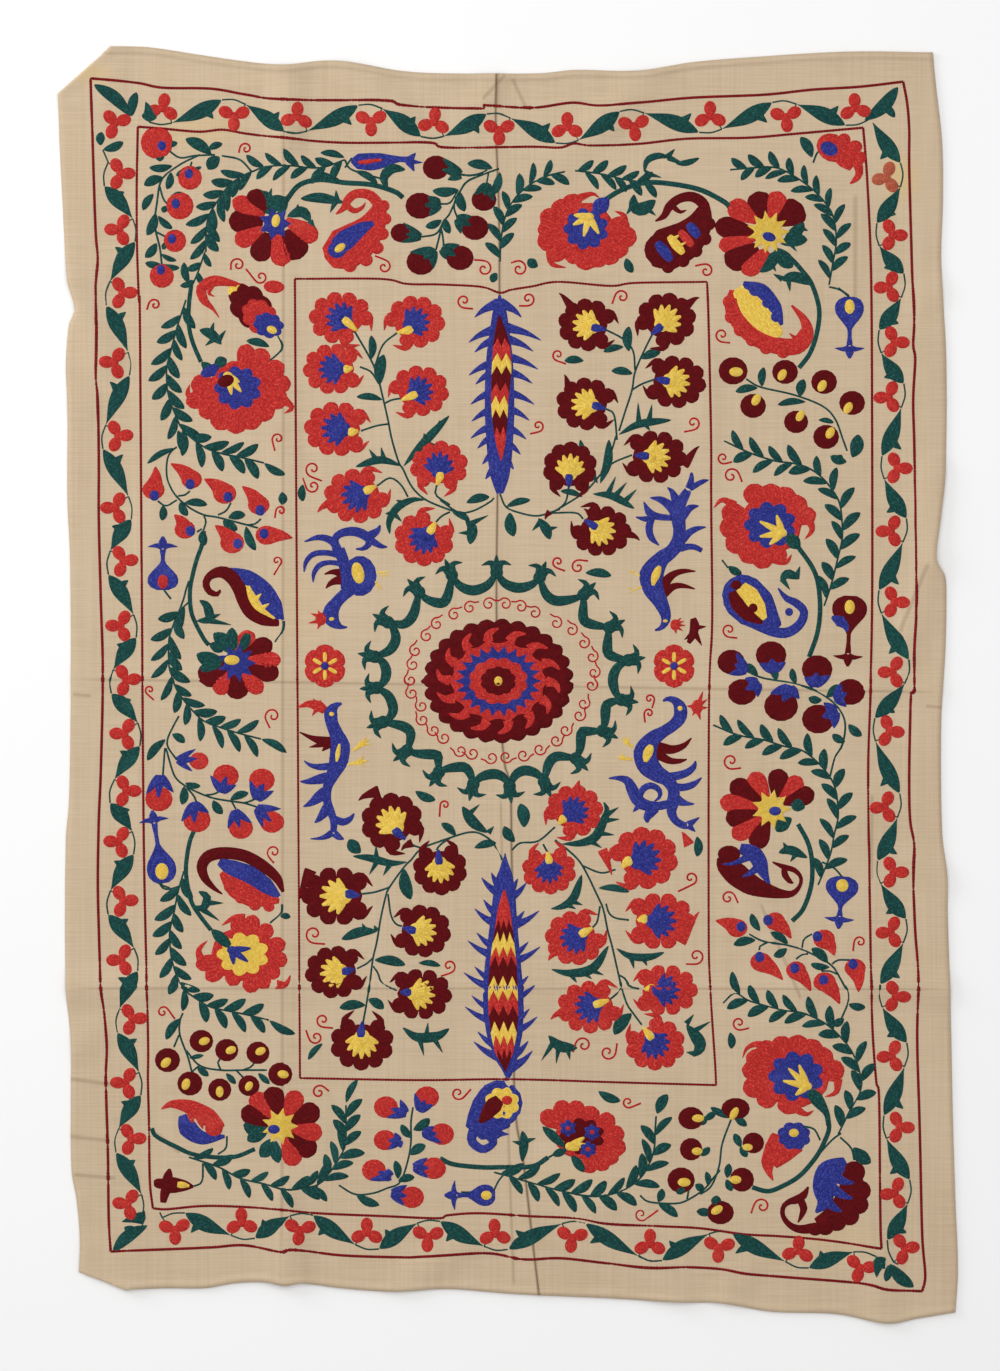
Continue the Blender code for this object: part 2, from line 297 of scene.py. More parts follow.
def weaveGroup():
    # plain hand weave on object coordinates: fine threads, slubs and a slight change of tone
    group, start, end = newGroup(
        "handWeave", [("Place", "Vector", None), ("Thread", "Float", 0.0009)],
        [("Height", "Float"), ("Slub", "Float"), ("Tone", "Float")])
    place = start.outputs["Place"]
    bend = addNode(group, "TexNoise", {}, Vector=place, Scale=9.0, Detail=2.0)
    parts = addNode(group, "SeparateXYZ", Vector=place).outputs
    bent = maths(group, "MULTIPLY_ADD", bend.outputs["Fac"], 0.018, parts[1])
    weft = maths(group, "SINE", maths(group, "DIVIDE", maths(group, "MULTIPLY", bent, 2 * math.pi),
                                      start.outputs["Thread"]))
    warp = maths(group, "SINE", maths(group, "DIVIDE", maths(group, "MULTIPLY", parts[0], 2 * math.pi),
                                      start.outputs["Thread"]))
    height = maths(group, "MULTIPLY_ADD", maths(group, "MULTIPLY", weft, warp), 0.35, 0.5)
    height = maths(group, "MULTIPLY_ADD", weft, 0.15, height)
    long = addNode(group, "Mapping", {"vector_type": "POINT"}, Vector=place, Scale=(14.0, 620.0, 1.0))
    slub = addNode(group, "TexNoise", {}, Vector=long.outputs[0], Scale=1.0, Detail=3.0)
    tall = addNode(group, "Mapping", {"vector_type": "POINT"}, Vector=place, Scale=(300.0, 5.0, 1.0))
    stripe = addNode(group, "TexNoise", {}, Vector=tall.outputs[0], Scale=1.0, Detail=2.0)
    threadsMix = maths(group, "MULTIPLY_ADD", stripe.outputs["Fac"], 0.35, maths(
        group, "MULTIPLY", slub.outputs["Fac"], 0.65))
    tone = addNode(group, "TexNoise", {}, Vector=place, Scale=7.0, Detail=3.0)
    group.links.new(height, end.inputs["Height"])
    group.links.new(threadsMix, end.inputs["Slub"])
    group.links.new(tone.outputs["Fac"], end.inputs["Tone"])
    return group


def wearGroup():
    # sparse patches where thread has thinned or dust has settled
    group, start, end = newGroup(
        "wear", [("Place", "Vector", None), ("Amount", "Float", 0.3)], [("Mask", "Float")])
    big = addNode(group, "TexNoise", {}, Vector=start.outputs["Place"], Scale=26.0, Detail=4.0)
    mask = ramp(group, big.outputs["Fac"], 0.55, 0.78)
    group.links.new(maths(group, "MULTIPLY", mask, start.outputs["Amount"]), end.inputs["Mask"])
    return group


chainStitch = chainStitchGroup()
handWeave = weaveGroup()
wear = wearGroup()


def placeGroup(tree, group, **values):
    node = tree.nodes.new("ShaderNodeGroup")
    node.node_tree = group
    for key, value in values.items():
        if isinstance(value, bpy.types.NodeSocket):
            tree.links.new(value, node.inputs[key])
        else:
            node.inputs[key].default_value = value
    return node


def threadMaterial(name, row=0.0014, stitch=0.0034):
    main, dark, light = (linear(*shade) for shade in threads[name])
    material = bpy.data.materials.new(name + "Thread")
    material.use_nodes = True
    tree = material.node_tree
    shader = tree.nodes["Principled BSDF"]
    shader.inputs["Specular IOR Level"].default_value = 0.12
    shader.inputs["Sheen Weight"].default_value = 0.02
    shader.inputs["Sheen Roughness"].default_value = 0.5
    uv = addNode(tree, "UVMap", {"uv_map": "stitch"}).outputs[0]
    place = addNode(tree, "TexCoord").outputs["Object"]
    stitches = placeGroup(tree, chainStitch, UV=uv, Row=row, Stitch=stitch)
    worn = placeGroup(tree, wear, Place=place, Amount=0.25)
    # painted shade: the hollows between stitches are darkened towards the dark strand colour, where shade
    # would fall
    hollowShade = ramp(tree, stitches.outputs["Height"], 0.05, 0.6, 1.0, 0.0)
    colour = mixColour(tree, ramp(tree, stitches.outputs["Mottle"], 0.45, 0.7, 0.0, 0.75), main, light)
    colour = mixColour(tree, ramp(tree, stitches.outputs["Strand"], 0.0, 1.0, 0.0, 0.55), colour, dark)
    colour = mixColour(tree, maths(tree, "MULTIPLY", hollowShade, 0.55), colour, dark)
    colour = mixColour(tree, worn.outputs["Mask"], colour, light)
    tree.links.new(colour, shader.inputs["Base Color"])
    tree.links.new(ramp(tree, stitches.outputs["Mottle"], 0.3, 0.7, 0.62, 0.8), shader.inputs["Roughness"])
    bump = addNode(tree, "Bump", Strength=0.7, Distance=0.0006, Height=stitches.outputs["Height"])
    tree.links.new(bump.outputs[0], shader.inputs["Normal"])
    return material


cottonLook = {
    "main": (202, 179, 149), "dark": (172, 148, 118), "light": (218, 197, 169), "stain": (214, 182, 116),
    "shadow": (120, 92, 66),
}
# Old marks on the cotton: photo place, reach right and down in pixels, strength
stains = [
    (900, 178, 30, 42, 0.55), (200, 130, 60, 26, 0.25), (93, 75, 30, 18, 0.35), (300, 610, 50, 60, 0.12),
    (835, 1240, 60, 30, 0.15), (560, 1180, 60, 24, 0.14),
]


def cottonMaterial():
    main, dark, light, stainColour, shadow = (linear(*cottonLook[key]) for key in
                                              ("main", "dark", "light", "stain", "shadow"))
    material = bpy.data.materials.new("cottonWeave")
    material.use_nodes = True
    tree = material.node_tree
    shader = tree.nodes["Principled BSDF"]
    shader.inputs["Specular IOR Level"].default_value = 0.2
    shader.inputs["Sheen Weight"].default_value = 0.1
    place = addNode(tree, "TexCoord").outputs["Object"]
    weave = placeGroup(tree, handWeave, Place=place, Thread=0.0009)
    worn = placeGroup(tree, wear, Place=place, Amount=0.35)
    colour = mixColour(tree, ramp(tree, weave.outputs["Slub"], 0.38, 0.62), dark, light)
    colour = mixColour(tree, 0.78, colour, main)
    colour = mixColour(tree, ramp(tree, weave.outputs["Tone"], 0.35, 0.7, 0.0, 0.22), colour, light)
    colour = mixColour(tree, maths(tree, "MULTIPLY", worn.outputs["Mask"], 0.35), colour, dark)
    for px, py, right, down, strength in stains:
        near = addNode(tree, "Mapping", {"vector_type": "TEXTURE"}, Vector=place,
                       Location=((px - middle[0]) * pixel, (middle[1] - py) * pixel, 0.0),
                       Scale=(right * pixel, down * pixel, 1.0))
        flat = addNode(tree, "VectorMath", {"operation": "MULTIPLY"}, i0=near.outputs[0], i1=(1.0, 1.0, 0.0))
        away = addNode(tree, "VectorMath", {"operation": "LENGTH"}, i0=flat.outputs[0]).outputs["Value"]
        away = maths(tree, "ADD", away, maths(tree, "MULTIPLY_ADD", weave.outputs["Tone"], 0.8, -0.4))
        colour = mixColour(tree, ramp(tree, away, 0.2, 1.0, strength, 0.0), colour, stainColour)
    for x0, y0, x1, y1, height, half in creases:
        turn = math.atan2(y1 - y0, x1 - x0)
        near = addNode(tree, "Mapping", {"vector_type": "TEXTURE"}, Vector=place,
                       Location=((x0 + x1) / 2 * mm, (y0 + y1) / 2 * mm, 0.0), Rotation=(0.0, 0.0, turn),
                       Scale=(math.hypot(x1 - x0, y1 - y0) / 2 * mm, half * 0.6 * mm, 1.0))
        parts = addNode(tree, "SeparateXYZ", Vector=near.outputs[0]).outputs
        along = ramp(tree, maths(tree, "ABSOLUTE", parts[0]), 0.9, 1.0, 1.0, 0.0)
        across = ramp(tree, maths(tree, "ABSOLUTE", maths(tree, "ADD", parts[1], 0.4)), 0.1, 0.8, 0.3, 0.0)
        colour = mixColour(tree, maths(tree, "MULTIPLY", along, across), colour, shadow)
    # painted shade along the seam, partly the seam's own darker line: the seam weight mixes in the shadow
    # colour
    seam = addNode(tree, "Attribute", {"attribute_name": "seamShade"}).outputs["Fac"]
    colour = mixColour(tree, seam, colour, shadow)
    tree.links.new(colour, shader.inputs["Base Color"])
    tree.links.new(ramp(tree, weave.outputs["Slub"], 0.3, 0.7, 0.82, 0.95), shader.inputs["Roughness"])
    height = maths(tree, "MULTIPLY_ADD", weave.outputs["Slub"], 0.8, weave.outputs["Height"])
    bump = addNode(tree, "Bump", Strength=0.5, Distance=0.0004, Height=height)
    tree.links.new(bump.outputs[0], shader.inputs["Normal"])
    return material


print("materials made")


# The two loom widths
def clothPoints(west, east, across, up):
    x = np.zeros(len(across))
    for _ in range(6):
        low, high = curveAt(bottomEdge, x), curveAt(topEdge, x)
        y = low + (high - low) * up
        x = west(y) + (east(y) - west(y)) * across
    return x, y


def rowsAlong(length, ends):
    count = round(length / cloth["pitch"])
    inner = [k / count for k in range(count + 1)]
    if ends:
        hem, step = cloth["hemWidth"] / length, (cloth["hemWidth"] + cloth["hemStep"]) / length
        inner = sorted([f for f in inner if min(abs(f - hem), abs(f - 1 + hem)) > 0.5 / count]
                       + [hem, step, 1 - hem, 1 - step])
    return inner


def cutRow(bm, place, across):
    bmesh.ops.bisect_plane(bm, geom=bm.verts[:] + bm.edges[:] + bm.faces[:], dist=0.01,
                           plane_co=(*place, 0.0), plane_no=(*across, 0.0))


def makeWidth(name, west, east, turned, material):
    width = float(east(np.zeros(1))[0] - west(np.zeros(1))[0])
    height = seamLine[-1][0] - seamLine[0][0]
    columns, rows = rowsAlong(width, False), rowsAlong(height, True)
    besideSeam = cloth["seamShade"] / width
    columns = sorted(columns + [1 - besideSeam if name == "panel_left" else besideSeam])
    bm = bmesh.new()
    bmesh.ops.create_grid(bm, x_segments=len(columns) - 1, y_segments=len(rows) - 1, size=0.5)
    across = np.array([columns[round((v.co.x + 0.5) * (len(columns) - 1))] for v in bm.verts])
    up = np.array([rows[round((v.co.y + 0.5) * (len(rows) - 1))] for v in bm.verts])
    x, y = clothPoints(west, east, across, up)
    hem = bm.verts.layers.float.new("hem")
    for vert, px, py, f in zip(bm.verts, x, y, up):
        vert.co = (px, py, 0.0)
        vert[hem] = 1.0 if min(f, 1 - f) * height < cloth["hemWidth"] + cloth["hemStep"] / 2 else 0.0
    for corner in turned:
        for k in range(cloth["arcSteps"] + 1):
            past = math.pi * corner.radius * k / cloth["arcSteps"]
            cutRow(bm, (corner.start[0] + corner.out[0] * past, corner.start[1] + corner.out[1] * past),
                   corner.out)
    bm.verts.index_update()
    x = np.array([v.co.x for v in bm.verts])
    y = np.array([v.co.y for v in bm.verts])
    hems = np.array([v[hem] for v in bm.verts])
    half = (cloth["thickness"] + (cloth["hemThickness"] - cloth["thickness"]) * hems) / 2
    z = middleHeight(x, y, half)
    level = edgeLift(x, y, levelAreas[name])
    for corner in turned:
        past = corner.past(x, y)
        angle = np.minimum(past / corner.radius, math.pi)
        slide = corner.radius * np.sin(angle) - np.maximum(past - math.pi * corner.radius, 0.0)
        under = past > 0.01
        x = np.where(under, x - corner.out[0] * (past - slide), x)
        y = np.where(under, y - corner.out[1] * (past - slide), y)
        z = np.where(under, half + level + corner.radius * (1.0 + np.cos(angle)), z)
    # painted shade at the seam: edge vertices get a weight that darkens the cotton towards its shadow colour,
    # partly the seam's own darker line and partly painted shade
    shade = bm.verts.layers.float.new("seamShade")
    seamAway = np.abs(x - curveAt(seamLine, y))
    for vert, px, py, pz, away in zip(bm.verts, x, y, z, seamAway):
        vert.co = (px * mm, py * mm, pz * mm)
        vert[shade] = cloth["seamShadeStrength"] if away < cloth["seamGap"] + 0.1 else 0.0
    bmesh.ops.recalc_face_normals(bm, faces=bm.faces[:])
    mesh = bpy.data.meshes.new(name + "_cloth")
    bm.to_mesh(mesh)
    bm.free()
    piece = bpy.data.objects.new(name + "_cloth", mesh)
    bpy.context.collection.objects.link(piece)
    group = piece.vertex_groups.new(name="hem")
    for index in range(len(mesh.vertices)):
        group.add([index], float(hems[index]), "REPLACE")
    solid = piece.modifiers.new("thickness", "SOLIDIFY")
    solid.thickness = cloth["hemThickness"] * mm
    solid.offset = 0.0
    solid.vertex_group = group.name
    solid.thickness_vertex_group = cloth["thickness"] / cloth["hemThickness"]
    for face in mesh.polygons:
        face.use_smooth = True
    mesh.materials.append(material)
    return piece


cotton = cottonMaterial()
gap = cloth["seamGap"] / 2
leftWidth = makeWidth("panel_left", lambda y: curveAt(leftEdge, y), lambda y: curveAt(seamLine, y) - gap,
                      corners, cotton)
rightWidth = makeWidth("panel_right", lambda y: curveAt(seamLine, y) + gap, lambda y: curveAt(rightEdge, y),
                       [], cotton)
for piece, node in ((leftWidth, "panel_left"), (rightWidth, "panel_right")):
    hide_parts(node)
    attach(piece, "root")
print("two loom widths laid")


# Embroidery tools
stitching = {  # in millimetres
    "height": 0.42, "layerStep": 0.15, "orderStep": 0.008,  # how proud, and a little more for later patches
    "depth": 0.7, "sink": 0.12, "weld": 0.03,  # thickness, how far edges sink in, distance for merging
    "cell": 4.5, "narrow": 4.6, "middling": 13,  # longest cell, and widths that need one or two inner rows
}
work = {name: [] for name in threads}
order = {name: 0 for name in threads}


def splinePoints(points, count):
    # evenly spaced places on a smooth curve through a few pixel places, with their sideways directions
    p = np.array(points, float)
    if len(p) == 2:
        fine = p[0] + (p[1] - p[0]) * np.linspace(0, 1, 20)[:, None]
    else:
        padded = np.vstack([2 * p[0] - p[1], p, 2 * p[-1] - p[-2]])
        t = np.linspace(0, 1, 16, endpoint=False)[:, None]
        pieces = []
        for a, b, c, d in zip(padded, padded[1:], padded[2:], padded[3:]):
            pieces.append(0.5 * (2 * b + (c - a) * t + (2 * a - 5 * b + 4 * c - d) * t**2
                                 + (3 * b - a - 3 * c + d) * t**3))
        fine = np.vstack(pieces + [p[-1:]])
    steps = np.hypot(*np.diff(fine, axis=0).T)
    run = np.concatenate([[0], np.cumsum(steps)])
    wanted = np.linspace(0, run[-1], count)
    x = np.interp(wanted, run, fine[:, 0])
    y = np.interp(wanted, run, fine[:, 1])
    dx, dy = np.gradient(x), np.gradient(y)
    size = np.maximum(np.hypot(dx, dy), 1e-9)
    return x, y, -dy / size, dx / size, run[-1] * pixel / mm


def profileHalf(kind, s):
    # half widths along a shape, from 0 at its start to 1 at its end
    if kind == "stem":
        return np.ones_like(s)
    if kind == "leaf":
        return np.sin(np.pi * s**1.1) ** 0.7
    if kind == "arc":
        return 0.45 + 0.55 * np.sin(np.pi * s)
    if kind == "drop":
        return np.sin(np.pi * s**1.8) ** 0.7 * 0.95 + 0.28 * (1 - s)
    if kind == "wedge":
        return np.sin(np.pi * s**1.35) ** 0.9
    if kind == "petal":
        return np.sin(np.pi * np.clip(s, 0, 1) ** 1.8) ** 0.55 * 0.98 + 0.3 * (1 - s) ** 1.5
    if kind == "horn":
        return (1 - s) ** 0.8
    if kind == "thorn":
        return np.sin(np.pi * (0.35 + 0.65 * s)) ** 0.9 / 0.95
    return np.sin(np.pi * s) ** 0.5  # lens


def addPatch(name, along, across, x, y, rise, u, v, layer):
    order[name] += 1
    lift = stitching["height"] + stitching["layerStep"] * layer
    lift += stitching["orderStep"] * (order[name] % 7)
    work[name].append((along, across, x, y, rise * lift - stitching["sink"] * (1 - rise), u, v))


def strip(name, points, width, kind="stem", layer=0, cell=None):
    # a band of stitches along a curve, width in millimetres; its kind may also be a row of widths, one for
    # each place or evenly spaced ones
    cell = cell or stitching["cell"]
    total = splinePoints(points, 20)[4]
    along = max(3 if kind == "stem" else 8, round(total / cell))
    s = np.linspace(0, 1, along + 1)
    x, y, nx, ny, length = splinePoints(points, along + 1)
    if isinstance(kind, str):
        shape, broad = profileHalf(kind, s), width
    else:
        steps = np.hypot(*np.diff(np.array(points, float), axis=0).T)
        at = np.linspace(0, 1, len(kind))
        if len(kind) == len(points):
            at = np.append(0, np.cumsum(steps)) / steps.sum()
        shape, broad = np.interp(s, at, kind), width * max(kind)
    half = np.maximum(shape, 0.03 * broad / width) * width / 2 * mm / pixel
    inner = 2 * round(broad / cell / 2 - 0.2) + 1
    if broad < stitching["middling"]:
        inner = 1 if broad < stitching["narrow"] else 2
    v = np.array([-1.0, *(np.linspace(-0.84, 0.84, inner) if inner > 1 else (0.0,)), 1.0])
    across = len(v) - 1
    grid = np.outer(v, half)
    rise = np.where(np.abs(v) > 0.99, 0.0, 1 - 0.06 * v**2)
    ends = np.ones_like(s) if kind == "stem" else np.minimum(1, 4 * np.sin(np.pi * np.clip(s, 0.0, 1.0)))
    ends = np.maximum(ends, 0.0)
    addPatch(name, along, across, (x + grid * nx).ravel(), (y + grid * ny).ravel(),
             np.outer(rise, ends).ravel(), np.tile(s * length * mm, across + 1),
             (grid * pixel).ravel() + 0.01 * order[name], layer)


def disc(name, x, y, rx, ry, turn=0.0, layer=0, lobes=0, bite=0.0):
    # a round patch, its radii in millimetres: bite cuts scallops into its edge, or points if it is negative
    around = max(14, lobes * 6)
    size = max(rx, ry)
    rings = max(2, round(size / stitching["cell"]))
    angle = np.linspace(0, 2 * np.pi, around + 1)
    r = np.append(np.linspace(0, 0.9, rings), 1.0)
    wave = np.abs(np.sin(angle * lobes / 2))
    edge = 1.0 - max(bite, 0.0) * (1 - wave) + min(bite, 0.0) * wave
    a = math.radians(turn)
    lx, ly = np.cos(angle) * edge * rx, np.sin(angle) * edge * ry
    dx = (lx * math.cos(a) - ly * math.sin(a)) * mm / pixel
    dy = -(lx * math.sin(a) + ly * math.cos(a)) * mm / pixel
    rise = np.where(r > 0.99, 0.0, 1.0)
    addPatch(name, around, rings, (x + np.outer(r, dx)).ravel(), (y + np.outer(r, dy)).ravel(),
             np.repeat(rise, around + 1), np.tile(angle * size * mm * 0.7, rings + 1),
             np.repeat(r * size * mm, around + 1) + 0.01 * order[name], layer)


def ray(x, y, degrees, length):
    # the pixel place at an angle and distance, angles counted from the right, upwards
    a = math.radians(degrees)
    return (x + length * math.cos(a), y - length * math.sin(a))


def leaf(x0, y0, x1, y1, width, bend=0.0):
    mx, my = (x0 + x1) / 2 - (y1 - y0) * bend, (y0 + y1) / 2 + (x1 - x0) * bend
    strip("green", [(x0, y0), (mx, my), (x1, y1)], width, "leaf")


def stem(points, width):
    strip("green", points, width, "stem", -1)


# Frame lines
outerFrame = [
    (91, 79), (136, 83), (163, 88), (211, 89), (247, 95), (284, 100), (384, 101), (404, 106), (479, 109),
    (486, 106), (533, 108), (572, 103), (600, 106), (640, 103), (692, 98), (764, 95), (812, 90), (860, 87),
    (903, 82), None, (907, 104), (909, 130), (909, 168), (911, 240), (912, 275), (914, 320), (913, 345),
    (915, 360), (913, 400), (914, 440), (915, 500), (916, 600), (914, 650), (914, 690), (911, 694),
    (910, 720), (909, 780), (910, 820), (914, 845), (913, 875), (915, 930), (918, 975), (917, 1040),
    (919, 1110), (920, 1150), (922, 1235), (925, 1275), (922, 1291), None, (887, 1289), (861, 1283),
    (775, 1276), (745, 1273), (722, 1269), (691, 1267), (648, 1267), (607, 1263), (561, 1258), (523, 1259),
    (487, 1253), (425, 1256), (402, 1257), (341, 1255), (294, 1249), (280, 1251), (244, 1245), (213, 1247),
    (167, 1249), (111, 1251), None, (109, 1220), (108, 1150), (106, 1080), (107, 1045), (104, 1010),
    (101, 985), (99, 930), (98, 880), (99, 820), (101, 770), (103, 675), (101, 600), (99, 520), (99, 460),
    (98, 400), (96, 378), (97, 340), (96, 290), (98, 260), (96, 235), (94, 180), (91, 79),
]
secondFrame = [
    (138, 127), (164, 129), (199, 132), (223, 130), (247, 134), (290, 139), (344, 143), (427, 143),
    (447, 148), (530, 147), (560, 148), (574, 144), (592, 146), (640, 144), (687, 139), (748, 138),
    (796, 134), (863, 128), None, (867, 180), (871, 275), (872, 440), (872, 600), (870, 700), (868, 780),
    (870, 920), (872, 1020), (876, 1080), (879, 1100), (880, 1220), (881, 1248), None, (826, 1240),
    (780, 1236), (744, 1234), (700, 1228), (661, 1226), (607, 1223), (576, 1218), (532, 1216), (480, 1213),
    (448, 1215), (438, 1218), (387, 1216), (318, 1213), (280, 1209), (228, 1206), (198, 1206), (167, 1209),
    (153, 1208), None, (150, 1180), (149, 1120), (148, 1080), (148, 1030), (144, 850), (142, 600),
    (140, 320), (139, 300), (137, 240), (137, 180), (138, 127),
]
innerFrame = [
    (295, 279), (380, 279), (407, 284), (440, 284.6), (481, 287), (499.7, 293), (511, 290), (532, 286.6),
    (559, 282), (610, 286), (636, 283), (707, 282), None, (708.6, 330), (711, 440), (711, 500), (712, 620),
    (709, 700), (708.6, 920), (710, 984), (715, 1063), (716, 1085), None, (610, 1082), (510, 1079),
    (420, 1080), (300, 1078), None, (299, 900), (296, 440), (295, 279),
]


def frameLine(table, width):
    # beaded lines, one side after another, each starting at the corner where the last one ended
    side = []
    for point in table + [None]:
        if point is None:
            beads = splinePoints(side, 20)[4] / 1.8
            count = round(beads)
            x, y, nx, ny, length = splinePoints(side, count + 1)
            swing = 1.0 + 0.14 * np.cos(np.arange(count + 1) * np.pi)
            v = np.array([-1.0, 0.0, 1.0])
            grid = np.outer(v, swing * width / 2 * mm / pixel)
            rise = np.outer([0.0, 1.0, 0.0], 0.9 + 0.1 * np.cos(np.arange(count + 1) * np.pi))
            addPatch("frameRed", count, 2, (x + grid * nx).ravel(), (y + grid * ny).ravel(), rise.ravel(),
                     np.tile(np.linspace(0, length * mm, count + 1), 3), (grid * pixel).ravel(), 0)
            side = [side[-1]]
        else:
            side.append(point)


frameLine(outerFrame, 4.4)
frameLine(secondFrame, 4.0)
frameLine(innerFrame, 3.6)


def draw(rows):
    # Columns: thread, kind, size, layer, photo places. A kind is a profile's name or a row of widths, and its
    # size is a width in millimetres, or "px" for widths in pixels. A spot and a scalloped disc have two radii
    # and a turn, and one is sewn at each place. Horns run from the first place to each of the others.
    for name, kind, size, layer, *places in rows:
        if kind in ("spot", "disc"):
            lobes, bite = (8, 0.14) if kind == "disc" else (0, 0.0)
            for place in places:
                disc(name, *place, *size, layer=layer, lobes=lobes, bite=bite)
        elif kind == "horns":
            for tip in places[1:]:
                strip(name, [places[0], tip], size, "horn", layer)
        else:
            strip(name, places, pixel / mm if size == "px" else size, kind, layer)


leafShape = {"fullness": 1.15, "bend": 0.07}  # widths in the tables are made this much fuller


def leaves(rows):
    for k, (*places, width) in enumerate(rows):
        leaf(*places, width * leafShape["fullness"], leafShape["bend"] * (-1) ** k)


def stems(lines, width=3.4):
    for points in lines:
        stem(points, width)


def petals(rows, fullness=1.32):
    for name, x0, y0, x1, y1, width in rows:
        strip(name, [(x0, y0), (x1, y1)], width * fullness, "petal")


def sprig(points, width, tips, tipWidth):
    # a long leaf with barbs along it
    strip("green", points, width, "leaf")
    x, y = splinePoints(points, 40)[:2]
    for tip in tips:
        k = max(int(np.argmin(np.hypot(x - tip[0], y - tip[1]))) - 3, 0)
        strip("green", [(x[k], y[k]), tip], tipWidth, "horn")


chance = np.random.default_rng(7)


vineForm = {"slant": 41.0, "thick": 3.2, "start": 0.03, "stop": 0.95}


def vine(points, count, length, width):
    # a stem with paired leaves that lean forward along it; leaf lengths are in pixels
    stem(points, vineForm["thick"])
    start, stop = vineForm["start"], vineForm["stop"]
    x, y, nx, ny, _ = splinePoints(points, 101)
    for k in range(count):
        for side in (-1, 1):
            at = round(100 * (start + (stop - start) * (k + 0.25 + 0.25 * side) / count))
            turn = math.radians(side * (vineForm["slant"] + chance.uniform(-6, 6)))
            c, s = math.cos(turn), math.sin(turn)
            reach = length * chance.uniform(0.95, 1.2)
            dx, dy = ny[at] * c + nx[at] * s, ny[at] * s - nx[at] * c
            leaf(x[at], y[at], x[at] + dx * reach, y[at] + dy * reach,
                 width * chance.uniform(0.95, 1.25), -0.08 * side)


curlForm = {"width": 3.0, "cell": 2.4, "sweep": 430, "core": 0.16, "steps": 12}


def curl(x, y, radius, tail, turn):
    # a loose spiral that opens towards its tail
    out = math.degrees(math.atan2(y - tail[1], tail[0] - x))
    spiral = []
    for k in range(curlForm["steps"] + 1):
        part = k / curlForm["steps"]
        reach = radius * (curlForm["core"] + (1 - curlForm["core"]) * part)
        spiral.append(ray(x, y, out - turn * (50 + curlForm["sweep"] * (1 - part)), reach))
    strip("red", spiral + [tail], curlForm["width"], "stem", 0, curlForm["cell"])


def bud(row, petal, cup):
    # a round bud held by a three-pointed cup: x, y, radius, cup base, cup tips
    x, y, radius, base, tips = row
    disc(petal, x, y, radius, radius * 0.9)
    root = (base[0] * 0.8 + x * 0.2, base[1] * 0.8 + y * 0.2)
    disc(cup, *root, radius * 0.42, radius * 0.42, layer=1)
    for tip in tips + [(x * 0.8 + base[0] * 0.2, y * 0.8 + base[1] * 0.2)]:
        inner = (tip[0] * 0.88 + x * 0.12, tip[1] * 0.88 + y * 0.12)
        strip(cup, [base, inner], radius * 0.62, "thorn", 1)


def comma(x, y, radius, tip, eye):
    # a round bud drawn out to a tip, with its eye where its stalk meets it
    disc("coral", x, y, radius, radius * 0.88)
    strip("coral", [(x, y), ((x + tip[0]) / 2 + 1.5, (y + tip[1]) / 2 - 1.0), tip], radius * 1.9, "horn")
    disc("blue", *eye, 6.2, 6.8, layer=1)


flower = {"scallops": 9, "opening": 76, "rays": 7}  # the opening is the angle left free round the stem


def fan(x, y, rx, ry, toward, colours, eye):
    # a scalloped flower open towards its stem, its radii in pixels and its angle counted from the right
    petal, star, centre = colours
    big, size = min(rx, ry) * pixel / mm, (rx + ry) / 2
    disc(petal, x, y, rx * 0.7 * pixel / mm, ry * 0.7 * pixel / mm)
    last = flower["scallops"] - 1
    for k in range(last + 1):
        a = math.radians(toward + 180 + (k - last / 2) * (360 - flower["opening"]) / last)
        out = (x + rx * math.cos(a), y - ry * math.sin(a))
        strip(petal, [(x + 0.3 * rx * math.cos(a), y - 0.3 * ry * math.sin(a)), out], big * 0.56, "petal")
    for side in (-1, 1):
        strip(petal, [ray(x, y, toward + side * 46, size * 0.55), ray(x, y, toward + side * 40, size * 0.95),
                      ray(x, y, toward + side * 14, size * 1.12)], big * 0.4, "horn")
    heart = ray(x, y, toward, size * 0.2)
    disc(star, *heart, big * 0.3, big * 0.3, layer=1)
    for k in range(flower["rays"]):
        strip(star, [heart, ray(x, y, toward + 180 + (k - 3) * 30, size * 0.6)], big * 0.34, "thorn", 1)
    strip(centre, [ray(x, y, toward, size * 0.72), eye, ray(eye[0], eye[1], toward + 180, size * 0.2)],
          big * 0.34, "drop", 2)


def horn(name, x0, y0, x1, y1, width=10.0):
    start = (x0 - (x1 - x0) * 0.7, y0 - (y1 - y0) * 0.7)
    strip(name, [start, ((x0 + x1) / 2, (y0 + y1) / 2 - 2), (x1, y1)], width * 1.5, "horn")


# The narrow border: trefoils in clockwise order. Its stem passes inside every second one and outside the
# others.
trefoils = [
    (115, 123), (163, 108), (234, 117), (297, 117), (371, 122), (434, 122), (499, 131), (567, 127),
    (634, 127), (710, 116), (786, 118), (855, 108),
]
rightTrefoils = [
    (886, 178), (893, 235), (888, 287), (895, 342), (888, 397), (898, 468), (890, 531), (895, 602),
    (892, 672), (890, 731), (884, 807), (894, 872), (890, 932), (896, 996), (891, 1056), (900, 1127),
    (894, 1193), (905, 1248),
]
bottomTrefoils = [
    (860, 1268), (798, 1250), (719, 1248), (650, 1243), (572, 1238), (495, 1233), (428, 1237), (367, 1232),
    (300, 1230), (242, 1222), (175, 1230),
]
leftTrefoils = [
    (127, 1204), (132, 1139), (125, 1083), (133, 1019), (121, 960), (124, 901), (118, 842), (127, 791),
    (124, 734), (127, 680), (120, 626), (124, 561), (115, 508), (119, 436), (114, 363), (123, 293),
    (119, 230), (121, 174),
]


